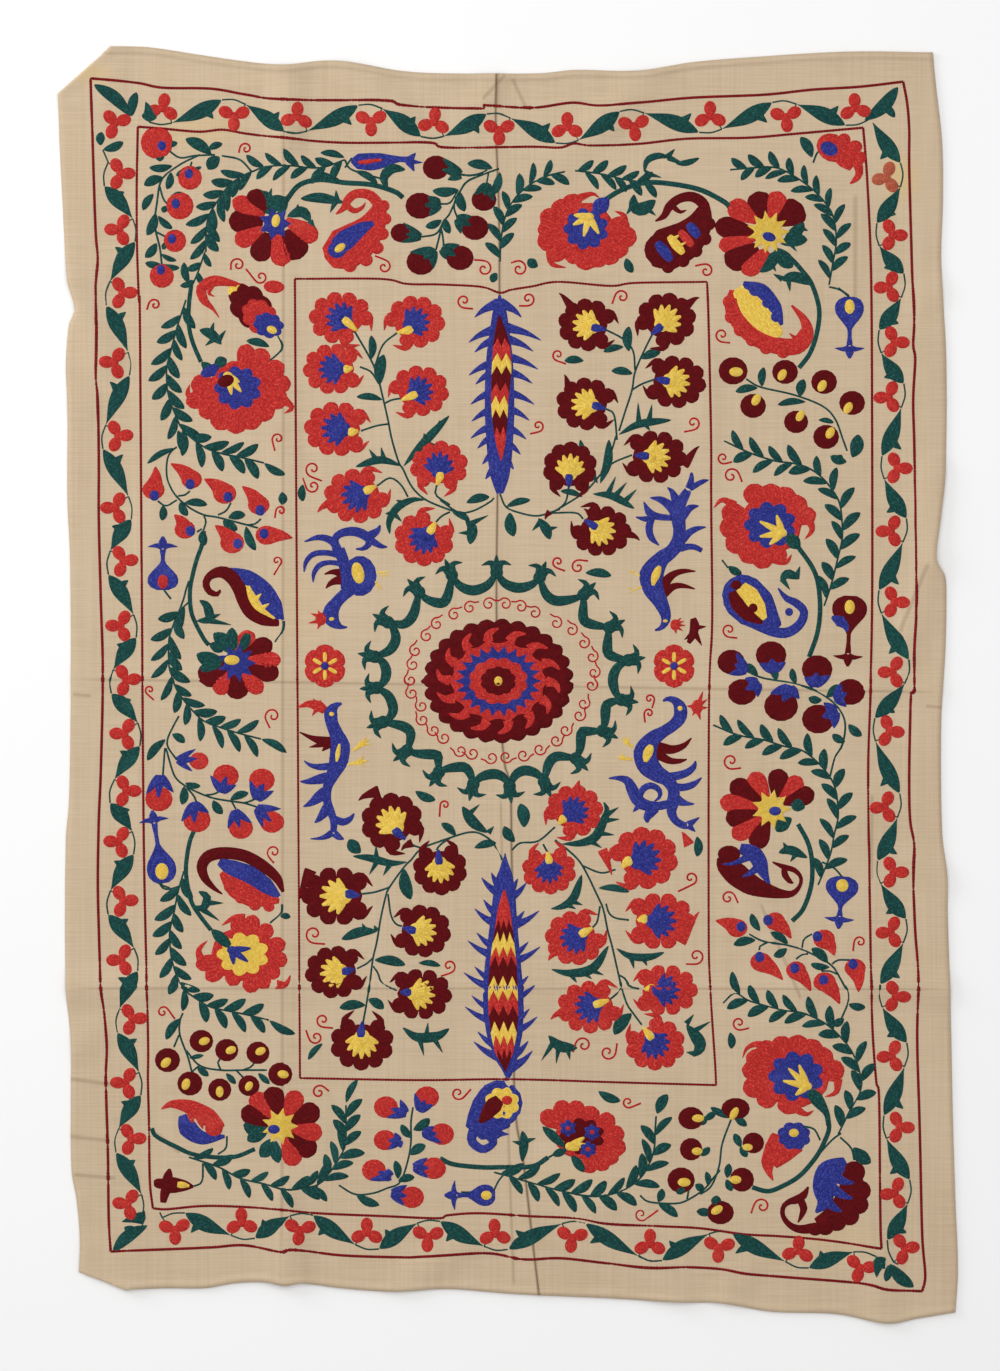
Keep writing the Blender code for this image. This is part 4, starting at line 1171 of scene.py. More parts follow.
# The four birds, each a few strips and spots, in draw's columns
birds = [
    ("blue", (1, 7, 14.5, 13, 14, 21, 20, 14, 10, 9, 8.5, 7.5, 7), "px", 0, (344.4, 702.7), (336, 705.5),
     (331, 712.5), (332, 723), (336, 733), (340, 746), (338.5, 761), (333, 774), (327.5, 787),
     (327, 800), (331, 812), (333.8, 822), (333.5, 835)),
    ("coral", (8, 12, 7, 1), "px", 0, (326, 711), (318, 706), (308, 704), (296.5, 708)),
    ("coral", "horn", 8, 0, (320, 708), (313, 698)), ("coral", "horn", 8, 0, (318, 707), (312, 716)),
    ("coral", "horn", 7, 0, (323, 708), (320, 699.5)), ("yellow", "spot", (3.2, 2.8, 0), 2, (331.7, 714)),
    ("yellow", (1, 4.2, 5.6, 4.2, 1), "px", 2, (340, 742), (338.8, 748), (338, 753), (337.2, 758),
     (336.3, 763.5)),
    ("maroon", (13, 10, 5, 1), "px", -0.5, (333, 743), (322, 741), (311, 737.5), (298.7, 731.7)),
    ("maroon", "horn", 10, -0.5, (328, 743), (308.5, 747.5)),
    ("maroon", "horn", 12, -0.5, (330, 743), (321.8, 751.5)),
    ("blue", (8, 7, 4, 1), "px", 0, (331, 766), (320, 767), (310, 765), (303.3, 760)),
    ("blue", (12, 10, 6, 1), "px", 0, (329, 777), (318, 779.5), (308, 781.5), (299.3, 781.5)),
    ("blue", (13, 12, 7, 1), "px", 0, (327, 791), (319, 797), (311, 803), (302.7, 807)),
    ("blue", (11, 10, 6, 1), "px", 0, (328, 806), (324, 813), (319, 819), (314.3, 823.2)),
    ("blue", (8, 8, 6, 1), "px", 0, (334, 819), (343, 822), (350, 819), (354.8, 812.7)),
    ("blue", (8, 6, 3, 1), "px", 0, (333, 832), (326, 836.5), (318, 838.5), (309.7, 838.8)),
    ("blue", (8, 7, 1), "px", 0, (334, 833), (339, 837), (344.4, 839.4)),
    ("yellow", (1.5, 4, 7), "px", 0, (352.5, 751.4), (358, 747), (363, 743)),
    ("yellow", "horns", 5, 0, (362, 744), (366.4, 735.7), (371.6, 744.4), (370, 739)),
    ("yellow", (1.5, 3, 6), "px", 0, (346.7, 764.7), (353, 763.5), (360, 762)),
    ("yellow", "horns", 5, 0, (359, 762), (363.5, 755.4), (369.3, 760.6)),
    ("yellow", "horn", 4, 0, (359, 762), (366.4, 767)),
    ("blue", (1, 5, 15, 17, 12, 12, 14), "px", 0, (348.5, 627), (341, 627), (333, 621), (331, 612),
     (337, 602), (345, 594), (352, 588)), ("blue", "spot", (20.5, 25, 0), 0, (360, 576)),
    ("blue", (11, 12, 12, 11), "px", 0, (339, 548), (343, 560), (346, 575), (346, 590)),
    ("blue", (11, 10, 8, 8, 9, 10, 10, 8, 5, 1), "px", 0, (343, 560), (337, 549), (334.8, 540),
     (339, 534.5), (347, 531.8), (356, 531.8), (365, 535.5), (369.5, 542), (364, 548.5), (354.3, 549)),
    ("blue", (9, 9, 6, 1), "px", 0, (367, 537), (373, 534), (378, 530), (380.3, 524.5)),
    ("blue", (8, 7, 5, 1), "px", 0, (369, 539), (376, 543.5), (382, 546.5), (388, 547)),
    ("blue", (8, 8, 6, 1), "px", 0, (338, 548), (330, 540), (318, 537.5), (303.3, 542.2)),
    ("blue", (7, 6, 6, 5, 1), "px", 0, (341, 556), (328, 553), (314, 554), (306, 562), (304, 573.5)),
    ("blue", (6, 5, 6, 5, 1), "px", 0, (342, 564), (330, 562.5), (320, 565), (314, 573), (313.2, 583.3)),
    ("maroon", (13, 9, 5, 1), "px", -0.5, (348, 577), (340, 573), (332, 572), (323.6, 574.6)),
    ("maroon", (12, 10, 6, 1), "px", -0.5, (348, 581), (340, 580), (331, 583), (325.3, 589)),
    ("yellow", (4, 11, 12.5, 10, 2), "px", 2, (355.5, 562), (356.5, 567), (358.5, 573), (359.5, 579),
     (360.3, 584.5)), ("yellow", "spot", (3.4, 2.4, 10), 2, (331.7, 619)),
    ("coral", "spot", (7, 8, 0), 0, (321, 619)), ("coral", "horn", 8, 0, (324, 618), (310.3, 613.4)),
    ("coral", "horn", 8, 0, (324, 620), (308, 623.3)), ("coral", "horn", 8, 0, (322, 620), (317.2, 629.6)),
    ("coral", "horn", 7, 0, (322, 618), (317.8, 610)), ("yellow", "horn", 4, 0, (376, 573), (392.5, 571)),
    ("yellow", "horn", 3, 0, (383, 574), (391, 577)), ("yellow", "horn", 3, 0, (381, 574), (385, 579)),
    ("yellow", "horn", 4, 0, (374, 581), (384.4, 590.3)),
    ("yellow", "horn", 3, 0, (377, 583), (378.6, 591.4)),
    ("blue", (1, 5, 8, 14, 14, 12, 12, 17, 25, 24, 18, 14, 12, 13, 10, 8, 8, 8), "px", 0, (660, 703),
     (667, 699), (674.5, 700.5), (680, 707.5), (680, 717), (673.5, 725), (663, 732), (653, 739),
     (645.5, 752), (648.5, 765), (657, 773.5), (667.5, 780), (673.5, 790), (673, 802), (671.5, 812),
     (675.5, 820.5), (684, 825.5), (690, 825)),
    ("blue", "horns", 10, 0, (688, 825), (699.9, 817), (695.6, 832)),
    ("yellow", "spot", (3.2, 3.2, 0), 2, (680, 708.3)), ("coral", "spot", (7, 9, 0), 0, (697, 707)),
    ("coral", "horn", 8, 0, (698, 706), (703, 690.5)), ("coral", "horn", 7, 0, (698, 706), (707.7, 699)),
    ("coral", "horn", 7, 0, (698, 708), (708.3, 707.6)),
    ("coral", "horn", 8, 0, (697, 708), (700.5, 720.5)), ("coral", "horn", 6, 0, (697, 708), (692, 716)),
    ("coral", "horn", 10, 0, (699, 707), (686.5, 706)),
    ("yellow", (2, 9, 11, 8, 1), "px", 2, (651.5, 743), (650, 748), (647.8, 753), (646, 758.5),
     (644.8, 763.8)),
    ("maroon", (13, 11, 9, 6, 1), "px", -0.5, (655, 747), (664, 748.5), (673, 749.5), (684, 745.5),
     (692, 737.2)),
    ("maroon", (12, 9, 7, 5, 1), "px", -0.5, (655, 752), (664, 758), (671, 761), (680, 761), (687.8, 759)),
    ("blue", (9, 9, 8, 6, 1), "px", 0, (664, 777), (676, 776), (687, 772.5), (694, 766.5), (695.6, 760)),
    ("blue", (9, 8, 7, 1), "px", 0, (671, 786), (682, 787.5), (693, 784.5), (702.3, 777)),
    ("blue", (13, 10, 5, 1), "px", 0, (672, 796), (679, 801), (687, 803.5), (695, 804)),
    ("blue", (9, 9, 12, 13, 12, 9, 5, 1), "px", 0, (672, 803), (658, 806), (645, 805), (637, 799),
     (631.5, 788), (627, 780.5), (618, 778), (607.3, 778.4)),
    ("blue", (7, 7, 7, 6, 4, 1), "px", 0, (638.5, 798), (643, 789), (651, 785.5), (659, 790),
     (659.5, 797), (653.3, 802)), ("blue", "horn", 10, 0, (640, 804), (632.7, 812.3)),
    ("blue", (8, 11, 8, 2), "px", 0, (657, 808), (650, 813), (647, 818), (647.8, 823.2)),
    ("yellow", (2, 3, 7), "px", 0, (634, 747.5), (629, 744.5), (625, 741)),
    ("yellow", "horns", 4, 0, (626, 742), (620.6, 737.5), (624.8, 735)),
    ("yellow", "horn", 4, 0, (627, 742), (630, 736)),
    ("yellow", (2, 4, 5), "px", 0, (633, 759.5), (625, 758.5), (620, 757)),
    ("yellow", "horn", 4, 0, (622, 757), (616, 757.2)), ("yellow", "horn", 4, 0, (622, 758), (623, 752)),
    ("yellow", "horn", 3, 0, (622, 758), (617, 761.5)),
    ("blue", (8, 10, 13, 15, 13, 15, 14, 17, 26, 23, 16, 12, 9, 5, 1), "px", 0, (690, 487),
     (685.4, 494.5), (679.5, 506), (678.4, 518), (679.5, 530), (678.5, 541), (671.4, 551.5),
     (661, 559.5), (651.8, 574.5), (653.8, 588.5), (659.7, 600.5), (665, 612.5), (665.5, 621),
     (661, 628), (652, 631.3)),
    ("blue", (7, 7, 5, 2), "px", 0, (688, 489), (690.5, 483), (691.5, 477), (691.2, 472)),
    ("blue", (7, 6, 5, 1), "px", 0, (689, 489), (696, 485), (703, 481.5), (709, 480)),
    ("blue", (11, 9, 5, 1), "px", 0, (678, 506), (675, 498), (671.5, 491), (666.7, 487.2)),
    ("blue", (12, 10, 7, 1), "px", 0, (676, 513), (669, 505), (660, 499.5), (649.2, 497.7)),
    ("blue", (6, 7, 9, 1), "px", 0, (674, 518), (660, 517), (650, 513.5), (643.3, 501.2)),
    ("blue", (6, 6, 1), "px", 0, (655, 517.5), (645, 519), (635.2, 517)),
    ("blue", (7, 8, 7, 1), "px", 0, (652, 517), (649, 528), (651.5, 538), (659.7, 546)),
    ("blue", (9, 9, 7, 1), "px", 0, (680, 521), (685.5, 512.5), (691, 507.5), (699.4, 505.9)),
    ("blue", (9, 8, 6, 1), "px", 0, (682, 541), (688, 533.5), (696, 529), (706.4, 526.9)),
    ("blue", (8, 7, 6, 5), "px", 0, (679, 549), (686, 547), (694, 547), (702.5, 551)),
    ("yellow", (1, 8, 9.5, 6, 1), "px", 2, (660.8, 564.2), (658, 570), (655.4, 576), (653.5, 582),
     (652.7, 587.6)), ("yellow", "spot", (3, 2, 0), 2, (665.3, 621)),
    ("maroon", (12, 10, 7, 5, 1), "px", -0.5, (661, 590), (667, 580), (675, 573.5), (685, 571),
     (696.4, 571.4)),
    ("maroon", (10, 9, 7, 5, 1), "px", -0.5, (662, 596), (668, 590), (675, 586), (684, 586),
     (695.9, 589.3)), ("coral", "spot", (6, 7, 0), 0, (675, 625)),
    ("coral", "horns", 6, 0, (675, 624), (681.3, 617.5), (684.5, 621)),
    ("coral", "horn", 6, 0, (675, 625), (686, 625.5)), ("coral", "horn", 6, 0, (675, 626), (683, 631)),
    ("coral", "horn", 6, 0, (675, 627), (676, 634)), ("yellow", "horn", 3.4, 0, (641, 576), (627, 571)),
    ("yellow", "horn", 3, 0, (634, 573), (630, 568)), ("yellow", "horn", 3.4, 0, (643, 586), (627, 594)),
    ("yellow", "horn", 3, 0, (633, 589), (627, 588)),
    ("maroon", (6, 10, 9, 4), "px", 0, (692.5, 617.5), (694.5, 625), (693, 634), (688, 644)),
    ("maroon", "horn", 9, 0, (693, 628), (706.4, 626.5)), ("maroon", "horn", 10, 0, (693, 630), (702, 646)),
    ("maroon", "horn", 8, 0, (693, 633), (684, 640)),
]
draw(birds)
for x, y in ((325, 666), (674, 666)):
    disc("coral", x, y, 14, 14)
    for k in range(6):
        out = 60 * k + 30
        strip("coral", [ray(x, y, out, 4), ray(x, y, out, 22)], 22, "petal")
        strip("yellow", [ray(x, y, out, 3), ray(x, y, out, 15)], 5.5, "lens", 1)
    disc("blue", x, y, 5, 5, layer=2)
print("birds and cypresses stitched")

# The wide band: leafy vines, each with its number of leaf pairs, leaf length and width
vines = [
    ([(345, 160), (320, 168), (289, 166), (266, 167), (252, 172)], 5, 20, 9),
    ([(255, 171), (247, 174), (231, 184), (220, 198), (209, 216), (206, 235), (206, 252)], 7, 23, 10),
    ([(205, 252), (197, 275), (189, 292)], 2, 14, 8),
    ([(186, 300), (177, 328), (171, 351), (167, 367), (167, 382), (169, 397), (176, 416), (184, 431),
      (204, 447), (223, 454), (239, 457), (264, 463)], 12, 23, 10),
    ([(189, 602), (179, 612), (173, 626), (169, 640), (169, 664), (172, 677), (176, 688), (183, 699),
      (193, 711), (204, 721), (219, 727), (238, 733), (261, 739)], 11, 23, 10),
    ([(184, 871), (178, 892), (174, 913), (170, 930), (170, 944), (172, 960), (177, 976), (184, 989),
      (197, 999), (211, 1007), (229, 1011), (244, 1014), (269, 1020)], 11, 23, 10),
    ([(189, 1157), (219, 1167), (240, 1178), (266, 1184), (289, 1189), (318, 1186)], 6, 20, 9),
    ([(300, 1187), (317, 1185), (329, 1173), (338, 1160), (345, 1146), (346, 1127),
      (346, 1105)], 7, 23, 10),
    ([(494, 1172), (526, 1181), (559, 1190), (586, 1195), (609, 1194), (625, 1189), (640, 1178),
      (649, 1164), (654, 1149), (655, 1132), (656, 1116)], 11, 23, 10),
    ([(838, 1134), (850, 1110), (860, 1092), (860, 1075), (855, 1058), (845, 1042), (826, 1024),
      (803, 1013), (783, 1010), (750, 1001), (735, 993), (723, 1003)], 11, 22, 10),
    ([(818, 885), (830, 855), (834, 835), (838, 817), (837, 798), (834, 785), (827, 773), (815, 760),
      (801, 750), (783, 746), (764, 740), (738, 735), (713, 725)], 11, 22, 10),
    ([(824, 606), (831, 585), (838, 557), (842, 539), (842, 522), (839, 502), (830, 487), (819, 475),
      (806, 467), (791, 463), (775, 461), (750, 453), (724, 441)], 11, 22, 10),
    ([(829, 285), (833, 262), (836, 244), (835, 226), (830, 210), (815, 192), (795, 177), (776, 168),
      (755, 168), (730, 170)], 11, 20, 9),
    ([(500, 262), (501, 240), (506, 215), (518, 195), (540, 179), (565, 172)], 7, 20, 9),
    ([(575, 171), (600, 174), (626, 180), (655, 184)], 5, 20, 9),
]
for points, count, length, width in vines:
    vine(points, count, length, width)

thickStems = [  # points, width in millimetres
    ([(279, 215), (288, 199), (300, 185), (320, 180), (345, 183), (372, 185), (395, 192), (403, 198)],
     6.5), ([(605, 200), (622, 190), (645, 183), (670, 184), (700, 190), (724, 202), (730, 208)], 6.5),
    ([(775, 249), (790, 258), (803, 272), (812, 285), (819, 309), (817, 332), (810, 353), (799, 368)],
     6.0), ([(192, 280), (189, 305), (189, 326), (193, 343), (201, 362)], 5.5),
    ([(204, 531), (202, 545), (197, 559), (193, 574), (190, 591), (191, 610), (195, 622), (204, 639),
     (209, 645)], 5.5),
    ([(194, 831), (190, 841), (187, 857), (186, 872), (188, 887), (192, 903), (201, 917), (211, 930)],
     5.5), ([(798, 547), (812, 567), (818, 584), (820, 610), (817, 634), (809, 657)], 6.0),
    ([(798, 824), (808, 843), (812, 863), (811, 886), (803, 909), (792, 921)], 6.0),
    ([(824, 1108), (829, 1126), (824, 1142), (815, 1158), (799, 1176), (780, 1187), (767, 1191),
     (752, 1187)], 6.0),
    ([(440, 1158), (453, 1164), (480, 1167), (501, 1167), (532, 1166), (548, 1157)], 6.0),
    ([(255, 1149), (232, 1157), (197, 1155), (175, 1146), (156, 1136), (152, 1128)], 5.5),
]
for points, width in thickStems:
    stem(points, width)

bandStems = [
    [(168, 150), (180, 158), (195, 156), (215, 155)], [(252, 172), (240, 160), (222, 156)],
    [(345, 160), (352, 170), (385, 180)], [(345, 168), (352, 158), (352, 158)], [(192, 162), (189, 172)],
    [(200, 155), (180, 165), (162, 180), (157, 205), (155, 225), (160, 248), (162, 265)],
    [(160, 187), (164, 200), (170, 206)], [(156, 232), (170, 239)],
    [(499, 169), (480, 176), (466, 183), (458, 196), (449, 215), (443, 222), (439, 238), (436, 250)],
    [(487, 170), (480, 174), (470, 176), (460, 175)], [(489, 172), (486, 186)],
    [(458, 190), (450, 203), (439, 204)], [(456, 197), (454, 208), (458, 219)],
    [(443, 223), (436, 234), (421, 237)], [(441, 228), (443, 238), (444, 250)],
    [(849, 297), (840, 290), (829, 287)], [(159, 882), (163, 888), (170, 889), (180, 886)],
    [(494, 1190), (499, 1180), (506, 1172)], [(194, 1186), (201, 1183), (203, 1177)],
    [(843, 878), (834, 868), (822, 862)], [(189, 581), (186, 590), (184, 598), (179, 612)],
    [(278, 336), (282, 349), (266, 364)], [(813, 163), (818, 152), (829, 146)],
    [(177, 447), (170, 453), (167, 463), (167, 476), (170, 486), (177, 497), (190, 508), (204, 515),
     (216, 517), (232, 521), (247, 525), (258, 528)], [(204, 516), (206, 522), (203, 532)],
    [(158, 501), (166, 506), (177, 500)], [(190, 491), (185, 495), (178, 496)],
    [(231, 503), (226, 511), (218, 515)], [(261, 519), (255, 524), (247, 525)], [(197, 532), (202, 529)],
    [(164, 590), (171, 599)], [(284, 621), (283, 630), (275, 642)],
    [(179, 716), (173, 727), (168, 738), (168, 747), (177, 760)], [(165, 748), (163, 775)],
    [(166, 748), (172, 769), (176, 778), (184, 785), (197, 792), (213, 798), (230, 801), (244, 803),
     (257, 807)], [(222, 790), (214, 794), (206, 795)], [(255, 799), (248, 802), (243, 803)],
    [(197, 804), (194, 796), (187, 788)], [(236, 809), (232, 802)], [(159, 880), (162, 885), (170, 888)],
    [(282, 904), (281, 913), (270, 923)], [(183, 1013), (180, 1021), (180, 1035), (188, 1057), (192, 1072)],
    [(179, 1035), (174, 1047)], [(186, 1050), (200, 1065.5), (221, 1070), (243, 1070), (267, 1070)],
    [(221, 1070), (218, 1062), (223, 1056)], [(243, 1070), (252, 1066), (256, 1058)],
    [(200, 1065), (192, 1072), (190, 1078)], [(236, 1070), (244, 1078)],
    [(803, 1126), (814, 1129), (820, 1140)], [(841, 1133), (831.6, 1140), (816, 1157)],
    [(227, 1136), (226, 1148), (218, 1154)], [(203, 1177), (203, 1163)],
    [(339, 1185), (355, 1194), (373, 1193), (387, 1188), (400, 1182), (408, 1160), (411, 1141),
     (411, 1122), (413, 1107)], [(568, 1149), (552, 1155), (540, 1163)], [(481, 1192), (461, 1192)],
    [(640, 1195), (647, 1201), (661, 1203), (678, 1203), (689, 1199), (704, 1189), (713, 1178),
     (720, 1170)], [(700, 1194), (711, 1186), (719, 1166), (722, 1144), (731, 1119)],
    [(689, 1188), (687, 1199)], [(838, 288), (849, 296)],
    [(746, 379), (760, 387), (794, 395), (822, 406), (835, 419), (843, 440), (847, 451)],
    [(722, 560), (728, 568)],
    [(746, 671), (763, 678), (792, 683), (809, 688), (829, 699), (841, 712), (845, 726), (842, 745),
     (835, 757), (830, 776)],
    [(749, 934), (763, 941), (787, 945), (808, 952), (831, 965), (841, 980), (848, 993), (847, 1005),
     (841, 1019)], [(840, 1137), (851, 1148), (854, 1160)], [(759, 950), (760, 946), (767, 942.4)],
    [(796, 959), (801, 955), (808, 953.6)], [(812, 934), (804, 939), (802, 948)],
    [(832, 964), (838, 960), (850, 960)], [(821, 971), (830, 971), (837, 974)],
]
stems(bandStems)

leaves([
    (212, 155, 185, 139, 13), (208, 150, 223, 144, 8), (220, 157, 208, 170, 14), (173, 166, 149, 168, 9),
    (164, 178, 144, 186, 11), (171, 172, 167, 190, 9), (154, 194, 143, 211, 9), (156, 213, 147, 236, 11),
    (158, 216, 173, 229, 8), (157, 243, 145, 258, 10), (161, 254, 177, 261, 6), (162, 265, 145, 263, 8),
    (163, 265, 180, 268, 7), (355, 171, 378, 184, 8), (345, 158, 320, 153, 8), (340, 180, 316, 171, 8),
    (493, 169, 467, 164, 11), (459, 190, 432, 191, 11), (459, 191, 465, 212, 11), (442, 220, 425, 227, 9),
    (445, 218, 450, 234, 9), (500, 172, 492, 196, 10), (497, 273, 492, 283, 9), (700, 158, 675, 164, 7),
    (626, 258, 633, 273, 10), (538, 267, 528, 259, 11), (812, 158, 800, 137, 12), (201, 362, 213, 376, 11),
    (270, 347, 246, 341, 9), (178, 430, 181, 451, 9), (176, 448, 147, 464, 7), (163, 505, 162, 521, 9),
    (180, 502, 188, 516, 9), (184, 503, 208, 505, 9), (223, 520, 238, 530, 11), (228, 518, 246, 515, 10),
    (246, 526, 256, 551, 10), (282, 492, 282, 505, 10), (203, 530, 205, 546, 10), (209, 644, 223, 652, 12),
    (166, 739, 147, 761, 10), (172, 734, 185, 743, 9), (185, 783, 201, 786, 7), (184, 786, 182, 805, 10),
    (213, 800, 223, 814, 10), (230, 800, 249, 793, 9), (264, 463, 286, 475, 9), (261, 739, 287, 753, 9),
    (269, 1020, 296, 1034, 9), (280, 916, 291, 917, 7), (181, 1018, 166, 1040, 10),
    (346, 1103, 358, 1079, 8), (356, 1194, 380, 1205, 10), (412, 1138, 401, 1124, 9),
    (413, 1130, 430, 1118, 11), (410, 1155, 426, 1145, 11), (398, 1179, 395, 1160, 9),
    (398, 1181, 415, 1177, 9), (598, 1091, 621, 1101, 10), (657, 1114, 668, 1094, 12),
    (658, 1202, 662, 1188, 9), (658, 1204, 678, 1217, 10), (708, 1186, 706, 1171, 7),
    (762, 387, 764, 367, 9), (758, 388, 735, 392, 9), (800, 397, 804, 379, 11), (806, 402, 777, 405, 8),
    (818, 420, 834, 423, 6), (852, 458, 858, 434, 15), (847, 462, 830, 456, 10), (728, 566, 742, 574, 9),
    (758, 676, 748, 663, 9), (776, 681, 771, 666, 9), (796, 684, 792, 668, 8), (826, 697, 838, 684, 10),
    (822, 700, 808, 698, 9), (848, 724, 862, 736, 10), (845, 742, 832, 734, 9), (756, 940, 733, 945, 10),
    (760, 931, 751, 913, 9), (788, 944, 770, 932, 9), (787, 948, 773, 956, 9), (828, 963, 811, 948, 11),
    (830, 967, 810, 963.6, 8), (848, 1004, 866, 1007, 9), (844, 1018, 832, 1025, 9),
    (853, 1147, 871, 1163, 15), (730, 1032, 731, 1049, 9), (836, 461, 842, 455, 8), (189, 284, 184, 262, 9),
])

bandSprigs = [  # points, width, barb tips
    ([(287, 196), (283, 207), (280, 216)], 11, []),
    ([(275, 212), (268, 200), (252, 193)], 17, [(272, 188), (285, 197)]),
    ([(287, 217), (302, 212), (311, 222)], 14, [(298, 204), (317, 235)]),
    ([(345, 203), (320, 198), (300, 199)], 13, [(336, 190), (330, 213), (355, 193)]),
    ([(388, 190), (384, 178), (392, 169), (406, 170)], 13, []),
    ([(644, 173), (647, 161), (658, 156), (670, 158)], 9, [(675, 149), (687, 166), (662, 178)]),
    ([(634, 194), (634, 206), (643, 209), (656, 200)], 17, [(626, 215), (656, 216)]),
    ([(814, 285), (795, 277), (780, 280)], 14, [(773, 274), (790, 292), (806, 283)]),
    ([(784, 240), (797, 231), (804, 222)], 15, [(808, 231), (797, 252)]),
    ([(779, 250), (770, 262), (757, 272)], 18, [(789, 261), (776, 272)]),
    ([(196, 621), (209, 619), (207, 606), (199, 600)], 12, [(221, 614), (232, 625)]),
    ([(192, 906), (203, 908), (207, 897), (198, 891)], 11, [(224, 903), (220, 921)]),
    ([(800, 579), (788, 574), (780, 580)], 12, [(790, 590), (800, 566)]),
    ([(808, 858), (790, 850), (778, 853)], 12, [(783, 842), (790, 862)]),
    ([(522, 1162), (524, 1141), (522, 1130)], 12, [(512, 1141), (536, 1138)]),
    ([(222, 345), (211, 334), (199, 330)], 13, [(214, 322), (226, 330), (205, 346)]),
]
for points, width, tips in bandSprigs:
    sprig(points, width, tips, 8.5)

bandCurls = [
    (246, 149, 6, (239, 153), 1), (238, 265, 7, (231, 270), 1), (261, 277, 7, (246, 269), -1),
    (384, 267, 7, (375, 256), 1), (484, 269, 8, (474, 260), 1), (519, 269, 8, (511, 263), 1),
    (706, 271, 7, (695, 266), 1), (155, 305, 6, (147, 310), 1), (278, 439, 6, (275, 451), 1),
    (277, 561, 5, (274, 575), -1), (281, 511, 5, (275, 518), 1), (273, 716, 8, (270, 728), 1),
    (274, 852, 7, (274, 863), 1), (163, 1012, 6, (175, 1019), -1), (458, 1093, 7, (471, 1089), 1),
    (319, 1092, 7, (329, 1091), -1), (628, 1102, 6, (641, 1103), 1), (641, 1214, 7, (658, 1210), 1),
    (722, 335, 7, (730, 343), 1), (723, 458, 6, (732, 462), 1), (731, 476, 8, (742, 482), -1),
    (729, 630, 7, (737, 638), 1), (731, 761, 8, (741, 768), 1), (728, 898, 7, (738, 903), -1),
    (739, 1023, 7, (749, 1028), 1), (860, 942, 6, (853, 951), 1), (762, 1206, 8, (751, 1213), 1),
    (150, 690, 5, (154, 700), 1),
]
for x, y, radius, tail, turn in bandCurls:
    curl(x, y, radius, tail, turn)

coralBuds = [  # x, y, radius, cup base, cup tips
    (199, 761, 12, (177, 760), [(196, 747), (199, 758), (192, 773)]),
    (159, 799, 17, (160, 776), [(144, 794), (158, 800), (176, 792)]),
    (226, 776, 16, (222, 791), [(208, 775), (227, 775), (238, 786)]),
    (262, 780, 16, (257, 799), [(248, 779), (265, 782), (276, 792)]),
    (197, 820, 17, (194, 804), [(179, 822), (194, 825), (211, 812)]),
    (241, 828, 15, (235, 811), [(226, 829), (240, 829), (254, 823)]),
    (272, 822, 15, (257, 808), [(262, 829), (273, 823), (283, 807)]),
    (386, 1107, 15, (406, 1113), [(402, 1098), (386, 1119)]),
    (427, 1097, 15, (420, 1110), [(413, 1092), (435, 1105)]),
    (385, 1140, 14, (399, 1141), [(396, 1131), (403, 1149), (388, 1151)]),
    (442, 1134, 15, (423, 1133), [(434, 1125), (443, 1145)]),
    (374, 1170, 15, (390, 1176), [(390, 1168), (385, 1182), (368, 1181)]),
    (434, 1168, 15, (414, 1167), [(427, 1156), (428, 1179)]),
    (412, 1197, 15, (392, 1193), [(407, 1183), (404, 1207)]),
]
greenCupBuds = [
    (436, 168, 16.5, (461, 175), [(442, 156), (449, 182)]),
    (420, 206, 18, (439, 204), [(428, 195), (430, 218)]),
    (401, 233, 13, (421, 237), [(403, 221), (400, 244)]),
    (421, 262, 18, (433, 251), [(408, 251), (435, 270)]),
    (460, 258, 17, (443, 249), [(444, 260), (460, 243)]),
    (475, 228, 17, (458, 219), [(459, 235), (472, 215)]),
    (484, 200, 15.5, (487, 185), [(472, 195), (496, 203)]),
]
zigzagBuds = [
    (731, 662, 17, (746, 670), [(736, 650), (728, 676)]),
    (771, 655, 19, (773, 670), [(757, 664), (788, 663)]),
    (742, 692, 18, (757, 683), [(745, 676), (760, 698)]),
    (781, 706, 21, (789, 688), [(768, 692), (802, 698)]),
    (817, 669, 19, (815, 684), [(802, 678), (833, 676)]),
    (850, 692, 18, (836, 697), [(840, 681), (846, 709)]),
    (818, 719, 20, (835, 712), [(824, 700), (836, 730)]),
]
for buds, petal, cup in ((coralBuds, "coral", "blue"), (greenCupBuds, "maroon", "green"),
                         (zigzagBuds, "maroon", "blue")):
    for row in buds:
        bud(row, petal, cup)

commas = [  # x, y, radius, tip, eye
    (153.7, 489.8, 13.8, (155.6, 466), (154.6, 495.5)), (191.6, 479.4, 13, (170.2, 463.3), (190.3, 484.1)),
    (224.7, 493.6, 14.5, (203.9, 478.8), (228.1, 497)), (258.8, 505, 13.5, (241.8, 486), (260.2, 510.3)),
    (185, 529.6, 13, (174, 514.4), (190.3, 531)), (232.3, 542.8, 15, (214.7, 525.2), (238, 543.8)),
    (266.4, 535.3, 13.5, (293.3, 538.1), (264.1, 533.7)), (737, 928, 13, (715, 920.5), (741, 926.5)),
    (775, 921, 12.5, (791.5, 939), (768, 920)), (824, 939, 13.5, (834.5, 956), (817.5, 936.5)),
    (855, 968, 13.2, (858, 992), (853, 964)), (761, 962, 13.5, (783, 980), (759.5, 957)),
    (796, 970, 12.5, (811, 992), (794.5, 968)), (824.5, 982, 14, (840, 1004.5), (823.5, 980)),
]
for row in commas:
    comma(*row)

